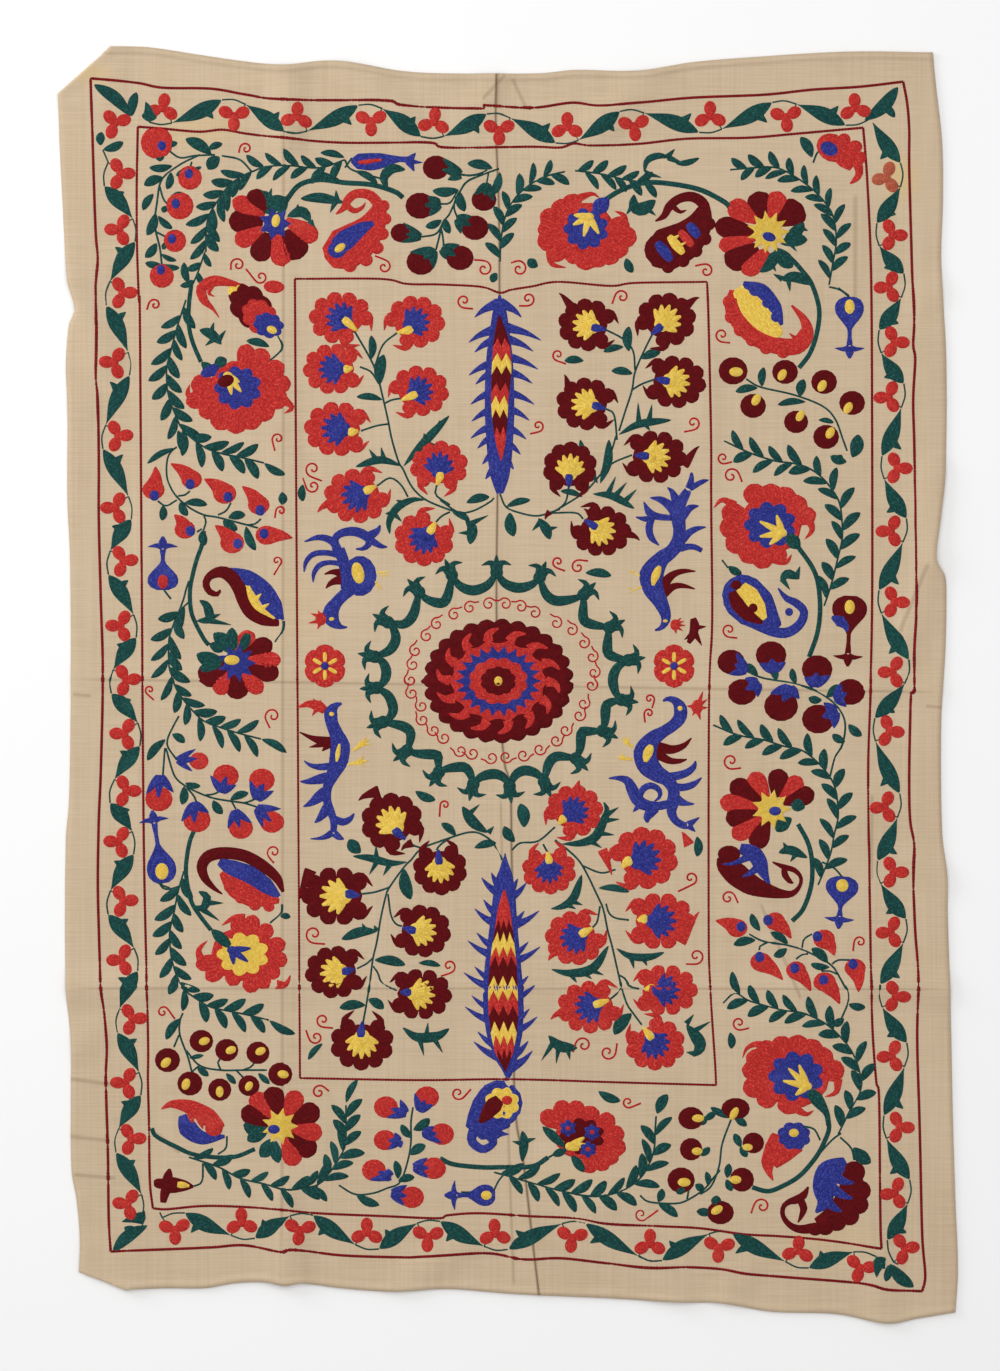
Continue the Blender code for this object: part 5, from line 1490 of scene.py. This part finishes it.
# Round coral buds of the top left sprig: place, radius, eye
for x, y, radius, eye in [
    (157, 143, 20, (162, 146)), (190, 178, 15, (189, 174)), (180, 206, 17, (176, 204)),
    (175, 241, 14, (172, 239)), (162, 276, 15, (161, 270)),
]:
    disc("coral", x, y, radius, radius)
    disc("blue", *eye, 5.5, 6.5, layer=1)
for row in [
    (166, 146, 178, 143, 8), (160, 152, 160, 162, 11), (188, 170, 176, 176, 8), (192, 171, 202, 167, 5),
    (170, 204, 182, 192, 12), (166, 206, 163, 213, 8), (168, 238, 176, 230, 8), (166, 242, 163, 250, 7),
]:
    leaf(*row)

berries = [  # x, y, radius right and down in millimetres, lens place, lens tilt
    (733, 371, 18, 17, (736, 372), 0), (785, 372, 16, 15, (782, 375), 60),
    (824, 382, 16, 15, (822, 386), 60), (753, 406, 16, 15, (756, 400), 60),
    (852, 403, 16, 15, (848, 408), 60), (796, 422, 15, 14, (800, 416), 60),
    (826, 437, 16, 15, (830, 433), 60), (201.4, 1041, 14.7, 14, (204.4, 1041), 20),
    (226.8, 1050, 14.4, 14, (231, 1050), 25), (258, 1052.7, 14.4, 14, (260.6, 1051), 25),
    (167.6, 1060, 15.6, 15, (166, 1062.5), 45), (280.3, 1074, 15, 14.5, (283.3, 1074), -10),
    (190, 1083.4, 15.6, 15, (186, 1084), 70), (219.8, 1089.5, 14.4, 14, (219.8, 1091.6), 90),
    (249, 1085.5, 13.2, 13, (249, 1086), 60), (691, 1118, 16, 14, (698, 1118), 0),
    (691, 1149, 14, 14, (697, 1151), 0), (681, 1180, 17, 16, (684, 1182), 0),
    (735.5, 1108.6, 17.6, 13.4, (734, 1113.2), 60), (753.2, 1142.7, 13.4, 13, (747.5, 1147), 0),
    (741.8, 1179.4, 15, 15, (735.5, 1179.4), 0), (720.3, 1212.3, 16.7, 14.6, (716.8, 1209.7), 30),
]
for x, y, rx, ry, lens, tilt in berries:
    disc("maroon", x, y, rx, ry)
    disc("yellow", *lens, rx * 0.5, ry * 0.36, tilt, layer=1)
for row in [
    (707, 1116, 700, 1125, 9), (704, 1120, 716, 1112, 9), (701, 1156, 710, 1147, 9),
    (695, 1184, 704, 1190, 10), (686, 1188, 676, 1193, 9), (729, 1118, 710, 1107, 9),
    (734, 1116, 747, 1126, 10), (741, 1147, 734, 1133, 10), (740, 1146, 747, 1157, 10),
    (727, 1178, 729, 1163, 10), (726, 1179, 732, 1191, 10), (715, 1207, 717, 1195, 13),
    (713, 1213, 696, 1211, 11), (189, 1058, 204, 1055, 6), (197, 1067, 209, 1076, 9),
    (226, 1073, 236, 1084, 8), (258, 1073, 270, 1084, 8),
]:
    leaf(*row)


# Blossoms of separate petals: thread, root, tip, width in millimetres
petals([
    ("maroon", 268, 213, 249, 191, 19), ("coral", 266, 215, 232, 200, 17),
    ("maroon", 264, 222, 228, 221, 21), ("coral", 264, 227, 235, 244, 18),
    ("maroon", 268, 232, 257, 262, 20), ("coral", 276, 234, 284, 267, 20),
    ("maroon", 285, 231, 302, 259, 24), ("coral", 286, 220, 318, 240, 19),
    ("coral", 758, 222, 728, 203, 20), ("maroon", 763, 220, 757, 191, 22),
    ("coral", 770, 220, 780, 191, 19), ("maroon", 778, 224, 803, 205, 26),
    ("maroon", 756, 233, 714, 225, 20), ("coral", 756, 238, 718, 247, 17),
    ("maroon", 758, 246, 725, 265, 24), ("coral", 768, 250, 742, 274, 20),
    ("coral", 232, 650, 255, 633, 16), ("maroon", 240, 657, 273, 642, 18),
    ("coral", 242, 660, 282, 660, 16), ("maroon", 240, 664, 280, 675, 19),
    ("coral", 238, 670, 263, 693, 16), ("maroon", 235, 672, 239, 700, 20),
    ("coral", 229, 672, 217, 695, 16), ("maroon", 228, 664, 199, 681, 23),
    ("maroon", 272, 1125, 241, 1109, 19), ("coral", 274, 1118, 251, 1093, 18),
    ("maroon", 280, 1116, 270, 1086, 20), ("coral", 286, 1118, 299, 1090, 18),
    ("maroon", 290, 1122, 320, 1108, 20), ("coral", 290, 1128, 323, 1134, 18),
    ("maroon", 288, 1134, 316, 1154, 20), ("coral", 284, 1137, 297, 1166, 18),
    ("coral", 768, 800, 751, 772, 18), ("maroon", 762, 802, 730, 782, 20),
    ("maroon", 775, 798, 780, 768, 19), ("coral", 780, 799, 802, 777, 17),
    ("maroon", 782, 803, 815, 792, 18), ("coral", 760, 808, 719, 801, 18),
    ("maroon", 760, 812, 725, 820, 19), ("coral", 763, 816, 732, 838, 18),
    ("maroon", 768, 818, 754, 849, 19),
])
blossomHearts = [  # place, radius, star thread, eye place, eye thread
    (275, 224, 16, "blue", (276, 221), "yellow", 7, (8.5, 5.5, 80)),
    (768, 232, 21, "yellow", (769, 237), "blue", 11, (9, 6, -20)),
    (237, 663, 19, "blue", (232, 660), "yellow", 9, (10, 6.5, 0)),
    (280, 1126, 18, "yellow", (274, 1129), "blue", 9, (8, 6, 0)),
    (771, 809, 19, "yellow", (775, 811), "blue", 9, (8, 6, 0)),
]
for x, y, radius, star, eye, centre, points, eyeSize in blossomHearts:
    disc(star, x, y, radius * 1.35, radius * 1.35, layer=1, lobes=points, bite=-0.4)
    disc(centre, *eye, *eyeSize, layer=2)
leaves([
    (264, 208, 285, 197, 18), (805, 808, 792, 800, 15), (792, 818, 776, 832, 15), (795, 806, 806, 796, 12),
    (234, 655, 213, 633, 17), (236, 652, 232, 627, 14), (238, 652, 249, 631, 13), (226, 662, 196, 654, 17),
    (224, 665, 198, 671, 12), (270, 1130, 243, 1124, 18), (268, 1132, 247, 1141, 15),
    (272, 1138, 260, 1157, 16), (276, 1140, 279, 1163, 13), (276, 214, 262, 199, 14),
    (778, 248, 793, 268, 17), (780, 244, 808, 240, 15),
])

# Carnations: scallops round a scalloped heart with fingers. Columns: heart, its radii, scallops' places and
# radii, hooks, fingers' root and tips, heart thread, finger thread
carnations = [
    ((586, 229), (26, 25), [(569, 200, 12), (557, 207, 12), (546, 217, 11), (544, 230, 11),
     (544, 242, 12), (553, 254, 12), (572, 259, 12), (586, 265, 12), (600, 262, 12), (613, 258, 12),
     (622, 250, 12), (630, 238, 12), (624, 226, 11)], [[(575, 200), (592, 194), (600, 199)], [(624, 228),
     (624, 216), (614, 211)], [(550, 250), (552, 264), (567, 268)]], ((589, 217), [(572, 215),
     (571, 226), (583, 239), (600, 236)]), "blue", "yellow"),
    ((238, 388), (27, 26), [(193, 401, 10), (197, 385, 12), (205, 412, 11), (219, 424, 12),
     (236, 428, 12), (253, 424, 12), (268, 414, 12), (281, 400, 12), (284, 384, 11), (278, 368, 11),
     (263, 355, 11), (247, 350, 10)], [[(284, 400), (292, 408), (284, 414)], [(196, 400), (188, 394),
     (190, 384)]], ((228, 376), [(241, 383), (243, 394), (232, 397)]), "blue", "yellow"),
    ((770, 525), (30, 28), [(752, 490, 12), (771, 489, 12), (788, 493, 12), (801, 503, 12),
     (810, 515, 10), (728, 512, 12), (726, 528, 12), (732, 545, 12), (746, 557, 12), (761, 563, 12),
     (778, 559, 11)], [[(736, 506), (722, 500), (713, 509)], [(808, 518), (812, 530), (804, 540)],
     [(776, 560), (786, 562), (792, 554)]], ((782, 533), [(757, 520), (776, 513), (757, 537),
     (768, 546)]), "blue", "yellow"),
    ((796, 1076), (32, 30), [(753, 1058, 12), (763, 1048, 12), (779, 1042, 12), (798, 1040, 12),
     (815, 1045, 12), (827, 1055, 12), (838, 1070, 12), (749, 1070, 11), (750, 1088, 12),
     (763, 1100, 12), (787, 1109, 12)], [[(771, 1049), (758, 1044), (747, 1048), (742, 1059)],
     [(838, 1078), (836, 1092), (824, 1097)], [(795, 1108), (806, 1114), (814, 1110)]], ((807, 1086),
     [(786, 1066), (798, 1062), (780, 1080), (794, 1096)]), "blue", "yellow"),
    ((582, 1136), (26, 22), [(546, 1116, 10), (560, 1106, 10), (575, 1105, 10), (592, 1110, 10),
     (610, 1119, 10), (619, 1134, 10), (620, 1148, 10), (613, 1158, 10), (604, 1165, 10),
     (591, 1168, 10)], [], ((570, 1146), [(586, 1136), (588, 1144), (580, 1150)]), "maroon", "yellow"),
    ((243, 954), (30, 26), [(253, 920, 9), (268, 929, 9), (280, 944, 9), (282, 960, 9), (275, 973, 9),
     (265, 983, 9), (252, 988, 9), (232, 981, 9), (211, 976, 9), (202, 964, 9), (238, 922, 9)],
     [[(246, 918), (234, 918), (221, 926)], [(202, 962), (199, 950), (208, 940)], [(276, 984),
     (286, 984), (291, 974)]], ((232, 950), [(253, 948), (250, 963), (234, 966)]), "yellow", "blue"),
]
for heart, radii, scallops, hooks, (root, tips), heartThread, fingerThread in carnations:
    disc("coral", *heart, radii[0] * 1.3, radii[1] * 1.3)
    for x, y, radius in scallops:
        inward = (heart[0] + (x - heart[0]) * 0.4, heart[1] + (y - heart[1]) * 0.4)
        out = (x + (x - heart[0]) * 0.17, y + (y - heart[1]) * 0.17)
        strip("coral", [inward, out], radius * 2.2, "petal")
    for points in hooks:
        strip("coral", points, 12, "horn")
    disc(heartThread, *heart, radii[0] * 1.15, radii[1] * 1.1, layer=1, lobes=9, bite=0.2)
    disc(fingerThread, *root, 6.5, 5.5, layer=2)
    for tip in tips:
        strip(fingerThread, [root, tip], 9.0, "thorn", 2)
for x, y in ((568, 1128), (592, 1132), (588, 1149)):
    disc("blue", x, y, 11, 11, layer=2, lobes=6, bite=0.3)
    disc("coral", x, y, 3, 3, layer=3)
draw([
    ("maroon", "spot", (11, 8, 20), 3, (226, 381)), ("green", "leaf", 15, 0, (214, 366), (227, 359)),
    ("green", "leaf", 15, 0, (210, 378), (200, 384)), ("green", "leaf", 18, 2, (800, 549), (786, 534)),
    ("green", (8, 15, 12, 6, 5), "px", 2, (806, 1090), (814, 1096), (820, 1103.6), (826.5, 1113.7),
     (828.6, 1126)), ("green", "leaf", 15, 2, (211, 929), (232, 948)),
    ("blue", "leaf", 20, 2, (609, 198), (593, 214)), ("green", "leaf", 12, 1, (568, 1149), (542, 1126)),
    ("green", "leaf", 12, 1, (571, 1154), (585, 1172)), ("green", "leaf", 10, 1, (568, 1149), (552, 1155)),
])

# Curled paisleys, each a few bands and spots, in draw's columns
paisleys = [
    ("coral", (0.3, 0.62, 0.9, 1, 0.5), 54, 0, (381, 205), (373, 224), (360, 239), (343, 250), (326, 259)),
    ("coral", "spot", (22, 21, 0), 0, (341, 251)),
    ("coral", "spot", (8.5, 8, 0), 0, (350, 266), (366, 260), (377, 248), (382, 234)),
    ("coral", "spot", (8, 7.5, 0), 0, (385, 219)), ("coral", "spot", (7, 7, 0), 0, (384, 206)),
    ("coral", (1, 1, 0.9, 0.8, 0.8, 0.6, 0.1), 14, 0, (381, 216), (378, 204), (369, 195), (356, 194),
     (348, 200), (344, 208), (335, 215)),
    ("coral", (1, 0.9, 0.6, 0.1), 8, 0, (346, 205), (354, 211), (362, 208), (366, 202)),
    ("blue", (0.1, 0.6, 1, 0.8), 29, 1, (377, 222), (363, 228), (346, 240), (334, 250)),
    ("blue", "spot", (12, 11, 0), 1, (337, 250)), ("yellow", "spot", (8, 4.8, 35), 2, (340, 248)),
    ("blue", (2, 16, 18.5, 16, 10, 5.5, 8, 4), "px", 0, (350, 161), (357, 161.5), (371, 162), (382, 161),
     (391, 160), (401, 159.5), (411, 160.5), (415, 161.5)),
    ("blue", "horns", 12, 0, (409, 161), (416, 153), (414.5, 172)),
    ("blue", "horn", 7, 0, (412, 162), (423, 163)),
    ("coral", (1, 5.5, 4.5, 2), "px", 1, (355, 162.3), (364, 162.5), (374, 161), (385, 160)),
    ("coral", "spot", (13, 8, -5), 0, (274, 287)),
    ("maroon", (0.3, 0.62, 0.9, 1, 0.5), 54, 0, (705, 207), (699, 224), (685, 240), (665, 250),
     (647, 257)), ("maroon", "spot", (22, 21, 0), 0, (662, 250)),
    ("maroon", "spot", (8, 8, 0), 0, (709, 224), (705, 239), (696, 251), (683, 261), (668, 267)),
    ("maroon", (1, 1, 0.9, 0.8, 0.8, 0.6, 0.1), 14, 0, (706, 217), (703, 204), (692, 197), (679, 199),
     (669, 207), (664, 216), (654, 222)),
    ("maroon", (1, 0.9, 0.6, 0.1), 7, 0, (672, 206), (680, 212), (687, 210)),
    ("blue", "lens", 14, 1, (687, 222), (700, 239)), ("coral", "lens", 12, 1, (678, 229), (694, 248)),
    ("yellow", "lens", 13, 1, (667, 234), (685, 256)), ("blue", "lens", 15, 1, (655, 240), (673, 263)),
    ("yellow", "horn", 7, 1, (672, 240), (681, 234)), ("yellow", "horn", 7, 1, (677, 247), (687, 242)),
    ("yellow", "spot", (13, 9, -10), 0, (238, 292)), ("maroon", "disc", (33, 24, -48), 0.3, (251, 307)),
    ("coral", (0.3, 1, 1, 0.8, 0.3, 0.05), 14, 1, (243, 286), (216, 281), (202, 288), (204, 300),
     (213, 309), (220, 319)), ("coral", (1, 0.8, 0.1), 6, 0, (213, 285), (209, 293), (215, 297)),
    ("coral", "disc", (25, 21, -45), 0.6, (259, 316)), ("blue", "disc", (20, 16, -20), 1.2, (268, 325)),
    ("yellow", "spot", (7, 5, -25), 2, (272, 330)),
    ("maroon", (0.1, 0.35, 0.45, 0.5, 0.55, 0.8, 1, 0.95, 0.85, 0.85, 0.8, 0.4), 18, 0.6, (221, 588),
     (218, 594), (210, 592), (206, 584), (210, 576), (221, 572), (232, 577), (239, 588), (244, 602),
     (251, 613), (264, 620), (282, 624)),
    ("blue", (0.3, 0.8, 1, 1, 0.4), 23, 0, (228, 570), (247, 577), (263, 590), (273, 605), (281, 621)),
    ("yellow", (0.3, 1, 0.8, 0.2), 11, 1.2, (247, 583), (252, 597), (259, 608), (277, 620)),
    ("yellow", "horn", 8, 1.2, (255, 600), (262, 593)), ("yellow", "horn", 8, 1.2, (261, 609), (270, 603)),
    ("coral", (0.3, 1, 1, 0.2), 27, 0, (221, 871), (236, 887), (255, 897), (281, 901)),
    ("coral", "spot", (7.5, 7, 0), 0, (230, 887), (241, 898), (255, 905)),
    ("coral", "spot", (7, 6, 0), 0, (269, 907)),
    ("blue", (0.4, 0.9, 1, 0.9, 0.3), 23, 0.6, (218, 861), (232, 868), (250, 875), (266, 886), (280, 898)),
    ("maroon", (0.1, 0.4, 0.7, 0.9, 1, 1, 1, 1, 0.8, 0.3), 15, 1, (224, 895), (214, 888), (205, 878),
     (202, 866), (209, 856), (225, 853), (245, 856), (263, 866), (277, 878), (283, 892)),
    ("blue", (8, 20, 14, 3), "px", 0, (182, 1114), (188, 1128), (203, 1138), (226, 1136)),
    ("coral", (1, 8, 15, 19, 12), "px", 1, (160.5, 1109.5), (172, 1104), (190, 1107), (208, 1117),
     (222, 1130)), ("coral", "spot", (11, 10.5, 0), 1, (214, 1128)),
    ("coral", "thorn", 8, 1, (190, 1112), (193, 1124)), ("coral", "thorn", 8, 1, (199, 1116), (203, 1129)),
    ("maroon", (2, 11, 16, 18, 12), "px", 0, (194.5, 1186.5), (186, 1185.5), (176, 1185), (167, 1184.5),
     (161, 1184)), ("maroon", (12, 11, 8, 2), "px", 0, (169, 1183), (168, 1178), (169, 1173), (170, 1168)),
    ("maroon", (11, 11, 10, 5), "px", 0, (166, 1184), (161, 1183.5), (157, 1183), (153.5, 1183)),
    ("maroon", (11, 10, 8, 6), "px", 0, (167, 1187), (165, 1193), (164, 1198), (163.3, 1203)),
    ("yellow", (5, 8, 6, 1), "px", 1, (176, 1184), (181, 1184.5), (186, 1185), (191, 1186)),
    ("blue", (0.55, 1, 0.95, 0.7, 0.45), 58, 0, (508, 1092), (500, 1102), (490, 1114), (480, 1126),
     (473, 1134)), ("blue", "spot", (29, 28, 0), 0, (499, 1103)),
    ("yellow", "disc", (23, 21, 0), 1, (502, 1103)),
    ("maroon", (0.5, 1, 0.7, 0.1), 24, 2, (502, 1097), (494, 1105), (486, 1115), (478, 1124)),
    ("coral", "spot", (7, 6, 0), 3, (507, 1100)),
    ("blue", (1, 0.9, 0.8, 0.7, 0.6, 0.1), 13, 0, (474, 1128), (472, 1141), (483, 1149), (494, 1142),
     (490, 1134), (482, 1136)), ("blue", (0.8, 1, 0.1), 11, 0, (488, 1142), (497, 1134), (509, 1134)),
    ("blue", (3, 13, 7, 1), "px", 1, (831, 617), (840, 621), (846, 627), (847, 634)),
    ("yellow", (0.5, 1, 0.95, 0.3), 46, 0, (739, 286), (752, 306), (764, 325), (781, 338)),
    ("blue", (0.4, 1, 0.9, 0.2), 19, 1, (742, 284), (761, 291), (775, 308), (782, 326)),
    ("blue", "spot", (8, 7, 0), 1, (755, 291), (768, 303)), ("blue", "spot", (7, 7, 0), 1, (776, 317)),
    ("coral", (0.4, 0.9, 1, 1, 1, 1, 0.8, 0.5, 0.1), 21, 1, (733, 288), (732, 308), (742, 326),
     (758, 339), (778, 346), (797, 346), (807, 335), (804, 320), (790, 304)),
    ("coral", "spot", (8, 8, 0), 1, (729, 302), (731, 317), (740, 330), (752, 340), (766, 348),
     (783, 352)), ("coral", (1, 0.8, 0.1), 8, 1, (804, 330), (796, 338), (789, 333)),
    ("blue", (0.75, 1, 0.95, 0.6, 0.35), 56, 0, (730, 588), (742, 596), (756, 609), (768, 622),
     (777, 631)), ("blue", "spot", (26, 25, 0), 0, (743, 595)),
    ("yellow", (0.6, 1, 0.8, 0.15), 34, 1, (737, 586), (747, 597), (757, 610), (766, 622)),
    ("maroon", (0.5, 1, 0.9, 0.2), 19, 2, (731, 589), (737, 603), (748, 615), (765, 624)),
    ("maroon", "spot", (7, 6, 0), 2, (736, 585)), ("maroon", "spot", (6, 6, 0), 2, (753, 608)),
    ("blue", "spot", (5, 5, 0), 0, (789, 612)),
    ("blue", (1, 1, 0.9, 0.8, 0.8, 0.6, 0.1), 13, 0, (766, 630), (785, 633), (799, 625), (804, 612),
     (796, 603), (786, 598), (777, 587)),
    ("maroon", (14, 21, 25, 22, 16, 10, 6.5, 4, 4, 5.5, 6, 1), "px", 0, (723, 854), (726, 864),
     (736, 874), (750, 884), (766, 890), (780, 893.6), (792, 893.6), (799.6, 886), (800.6, 877),
     (794, 870), (784, 867), (770, 861)),
    ("maroon", (6, 7, 5, 1), "px", 0, (784, 868), (785, 875), (790, 881.5), (794, 883)),
    ("blue", (10, 17, 16, 10, 1), "px", 1, (739, 848), (753, 853), (760, 863), (764, 874), (770.5, 886)),
    ("blue", (9, 4.5, 1), "px", 1, (750, 856), (734, 863), (720, 864.5)),
    ("blue", (9, 6, 1), "px", 1, (757, 868), (750, 873), (741, 877.6)),
    ("maroon", "spot", (14, 10.5, 0), 1.6, (729, 854)),
    ("coral", (18, 22, 16, 7, 1), "px", 0, (780, 1134), (774.7, 1149), (768.4, 1161.7), (769, 1172),
     (773.4, 1181)), ("coral", (12, 14, 8), "px", 0, (800, 1145), (786, 1155), (773.4, 1166)),
    ("blue", "disc", (21, 18, 0), 1, (793.7, 1136)), ("yellow", "spot", (6.5, 5.5, 0), 2, (793.7, 1132.6)),
    ("maroon", (18, 24, 26, 22, 14), "px", 0, (851.8, 1166.8), (851.8, 1182), (846.8, 1199.6),
     (834, 1214.8), (816, 1225)),
    ("maroon", (12, 9, 6.5, 5, 5, 6, 9, 8, 1), "px", 0, (818, 1227), (801, 1229), (790, 1225),
     (783, 1216), (783, 1207), (788.6, 1201.7), (796, 1199.6), (803.8, 1194.6), (808.8, 1185)),
    ("maroon", (8, 8, 5, 1), "px", 0, (800, 1199), (803.5, 1208), (801, 1216), (797.5, 1223)),
    ("maroon", "spot", (14, 13.5, 0), 0, (853.8, 1171.8)),
    ("maroon", "spot", (13, 12.5, 0), 0, (860, 1190)), ("maroon", "spot", (12.5, 12, 0), 0, (858, 1204)),
    ("maroon", "spot", (12, 12, 0), 0, (849.3, 1215.5)), ("maroon", "spot", (12, 11, 0), 0, (836.6, 1222)),
    ("maroon", "spot", (11, 10, 0), 0, (825, 1227)), ("maroon", "spot", (9, 8, 0), 0, (815, 1229)),
    ("blue", (12, 26, 24, 16, 2), "px", 1, (847, 1161.5), (829, 1172), (824, 1187), (824, 1202),
     (815, 1213)), ("blue", (12, 9, 1), "px", 1, (832, 1175), (844, 1181), (856, 1183)),
    ("blue", (13, 9, 1), "px", 1, (830, 1187), (843, 1195), (854.5, 1199)),
    ("blue", (12, 8, 1), "px", 1, (825, 1200), (835, 1208), (843.5, 1212)),
    ("coral", "spot", (20, 17, -30), 0, (832, 148)),
    ("coral", (16, 24, 25, 18), "px", 0, (831, 143), (840, 151), (848, 158), (856, 165)),
    ("blue", "spot", (12, 9, -25), 1, (829, 149)), ("coral", "spot", (8, 8, 0), 0, (844, 140)),
    ("coral", "spot", (9, 8, 0), 0, (855, 147)), ("coral", "spot", (8, 8, 0), 0, (860, 158)),
    ("coral", (11, 10, 8, 6, 1), "px", 0, (855, 158), (858, 166), (859, 174), (855, 180), (849, 184.5)),
]
draw(paisleys)


# Bottle-shaped buds. Columns: thread, foot, heading of the neck, body length and width, neck length, eye
# thread and its radii. Lengths of the bottle are in pixels and its width in millimetres.
bottles = [
    ("blue", (163, 591), 90, 31, 39, 11, "coral", (6.8, 9)),
    ("blue", (164, 884), 99, 43, 37, 19, "yellow", (8.6, 10.8)),
    ("blue", (849.5, 296), -90, 36, 37, 14, "yellow", (6.5, 9.5)),
    ("blue", (843, 875.5), -95, 33, 41, 8, "yellow", (8, 8.4)),
    ("maroon", (850, 595), -92, 40, 44, 19, "yellow", (6.7, 9.3)),
    ("blue", (496, 1195), 180, 32, 27, 7, "yellow", (7, 6)),
]


bottleBody = (0.3, 0.78, 0.96, 1, 0.97, 0.84, 0.62, 0.4, 0.2, 0.12)  # its half widths from foot to neck


def bottle(name, foot, toward, length, width, neck, eye, eyeSize):
    strip(name, [foot, ray(*foot, toward, length)], width, bottleBody)
    crown = ray(*foot, toward, length + neck)
    strip(name, [ray(*foot, toward, length - 4), crown], 1.2, (4.5, 4.2, 7))
    for side in (-1, 1):
        strip(name, [ray(*crown, toward, 2), ray(*crown, toward + side * 62, 7),
                     ray(*crown, toward + side * 82, 15.5)], 9, "horn")
    strip(name, [crown, ray(*crown, toward, 7), ray(*crown, toward, 13)], 1.2, (6, 9, 2))
    disc(eye, *ray(*foot, toward, length * 0.3), *eyeSize, layer=1)


for row in bottles:
    bottle(*row)
draw([("blue", "spot", (13, 7, 30), 0, (210, 371)), ("blue", "thorn", 10, 0, (204, 366), (219, 378))])
print("wide band stitched")


# Finish the stitched pieces
def finishThread(name):
    bm = bmesh.new()
    uvLayer = bm.loops.layers.uv.new("stitch")
    along = [item[0] for item in work[name]]
    x = np.concatenate([(item[2] - middle[0]) * pixel / mm for item in work[name]])
    y = np.concatenate([(middle[1] - item[3]) * pixel / mm for item in work[name]])
    z = clothTop(x, y) + np.concatenate([item[4] for item in work[name]])
    first = 0
    for count, across, _, _, _, u, v in work[name]:
        made = bmesh.ops.create_grid(bm, x_segments=count, y_segments=across, size=0.5)["verts"]
        places = {}
        for k, vert in enumerate(made):
            vert.co = (x[first + k] * mm, y[first + k] * mm, z[first + k] * mm)
            places[vert] = (u[k], v[k])
        for face in {f for vert in made for f in vert.link_faces}:
            for loop in face.loops:
                loop[uvLayer].uv = places[loop.vert]
        first += len(made)
    bmesh.ops.remove_doubles(bm, verts=bm.verts[:], dist=stitching["weld"] * mm)
    for face in bm.faces:
        face.normal_update()
        if face.normal.z < 0:
            face.normal_flip()
        face.smooth = True
    mesh = bpy.data.meshes.new(name + "_stitches")
    bm.to_mesh(mesh)
    bm.free()
    piece = bpy.data.objects.new(name + "_stitches", mesh)
    bpy.context.collection.objects.link(piece)
    solid = piece.modifiers.new("thread", "SOLIDIFY")
    solid.thickness = stitching["depth"] * mm
    solid.offset = -1.0
    mesh.materials.append(threadMaterial(name))
    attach(piece, "root")
    print(name, "stitches", len(mesh.polygons), "faces")
    return piece


stitchedPieces = [finishThread(name) for name in threads if work[name]]


# Floor, light and camera
studio = {
    "distance": 5.0, "imageHeight": 1371, "imageCentre": (500, 685.5), "sensor": 36.0,
    "floorShade": (0.93, 0.93, 0.93, 1.0), "floorDrop": 0.0005, "skyStrength": 0.45,
}
lamps = [  # name, place, size, power, turn in degrees
    ("softTop", (0.0, 0.6, 4.2), (4.0, 4.0), 105.0, (-8.0, 0.0, 0.0)),
    ("softSide", (-3.4, 1.8, 1.2), (1.8, 1.8), 70.0, (0.0, -68.0, -26.0)),
]


def makeFloor():
    bm = bmesh.new()
    bmesh.ops.create_grid(bm, x_segments=1, y_segments=1, size=6.0)
    bmesh.ops.translate(bm, verts=bm.verts[:], vec=(0.0, 0.0, -studio["floorDrop"]))
    mesh = bpy.data.meshes.new("studio_floor")
    bm.to_mesh(mesh)
    bm.free()
    floor = bpy.data.objects.new("studio_floor", mesh)
    bpy.context.collection.objects.link(floor)
    material = bpy.data.materials.new("paleFloor")
    material.use_nodes = True
    shader = material.node_tree.nodes["Principled BSDF"]
    shader.inputs["Base Color"].default_value = studio["floorShade"]
    shader.inputs["Roughness"].default_value = 0.9
    mesh.materials.append(material)


def addLight(name, place, size, power, turn):
    lamp = bpy.data.lights.new(name, "AREA")
    lamp.shape = "RECTANGLE"
    lamp.size, lamp.size_y = size
    lamp.energy = power
    light = bpy.data.objects.new(name, lamp)
    light.location = place
    light.rotation_euler = [math.radians(a) for a in turn]
    bpy.context.collection.objects.link(light)


makeFloor()
for lampRow in lamps:
    addLight(*lampRow)
world = bpy.data.worlds.new("studio")
world.use_nodes = True
world.node_tree.nodes["Background"].inputs["Color"].default_value = (1.0, 1.0, 1.0, 1.0)
world.node_tree.nodes["Background"].inputs["Strength"].default_value = studio["skyStrength"]
bpy.context.scene.world = world
bpy.context.scene.view_settings.view_transform = "Standard"

lens = bpy.data.cameras.new("camera")
lens.sensor_width = studio["sensor"]
lens.lens = studio["sensor"] * studio["distance"] / (studio["imageHeight"] * pixel)
camera = bpy.data.objects.new("camera", lens)
camera.location = ((studio["imageCentre"][0] - middle[0]) * pixel,
                   (middle[1] - studio["imageCentre"][1]) * pixel, studio["distance"])
bpy.context.collection.objects.link(camera)
bpy.context.scene.camera = camera

bpy.context.view_layer.update()
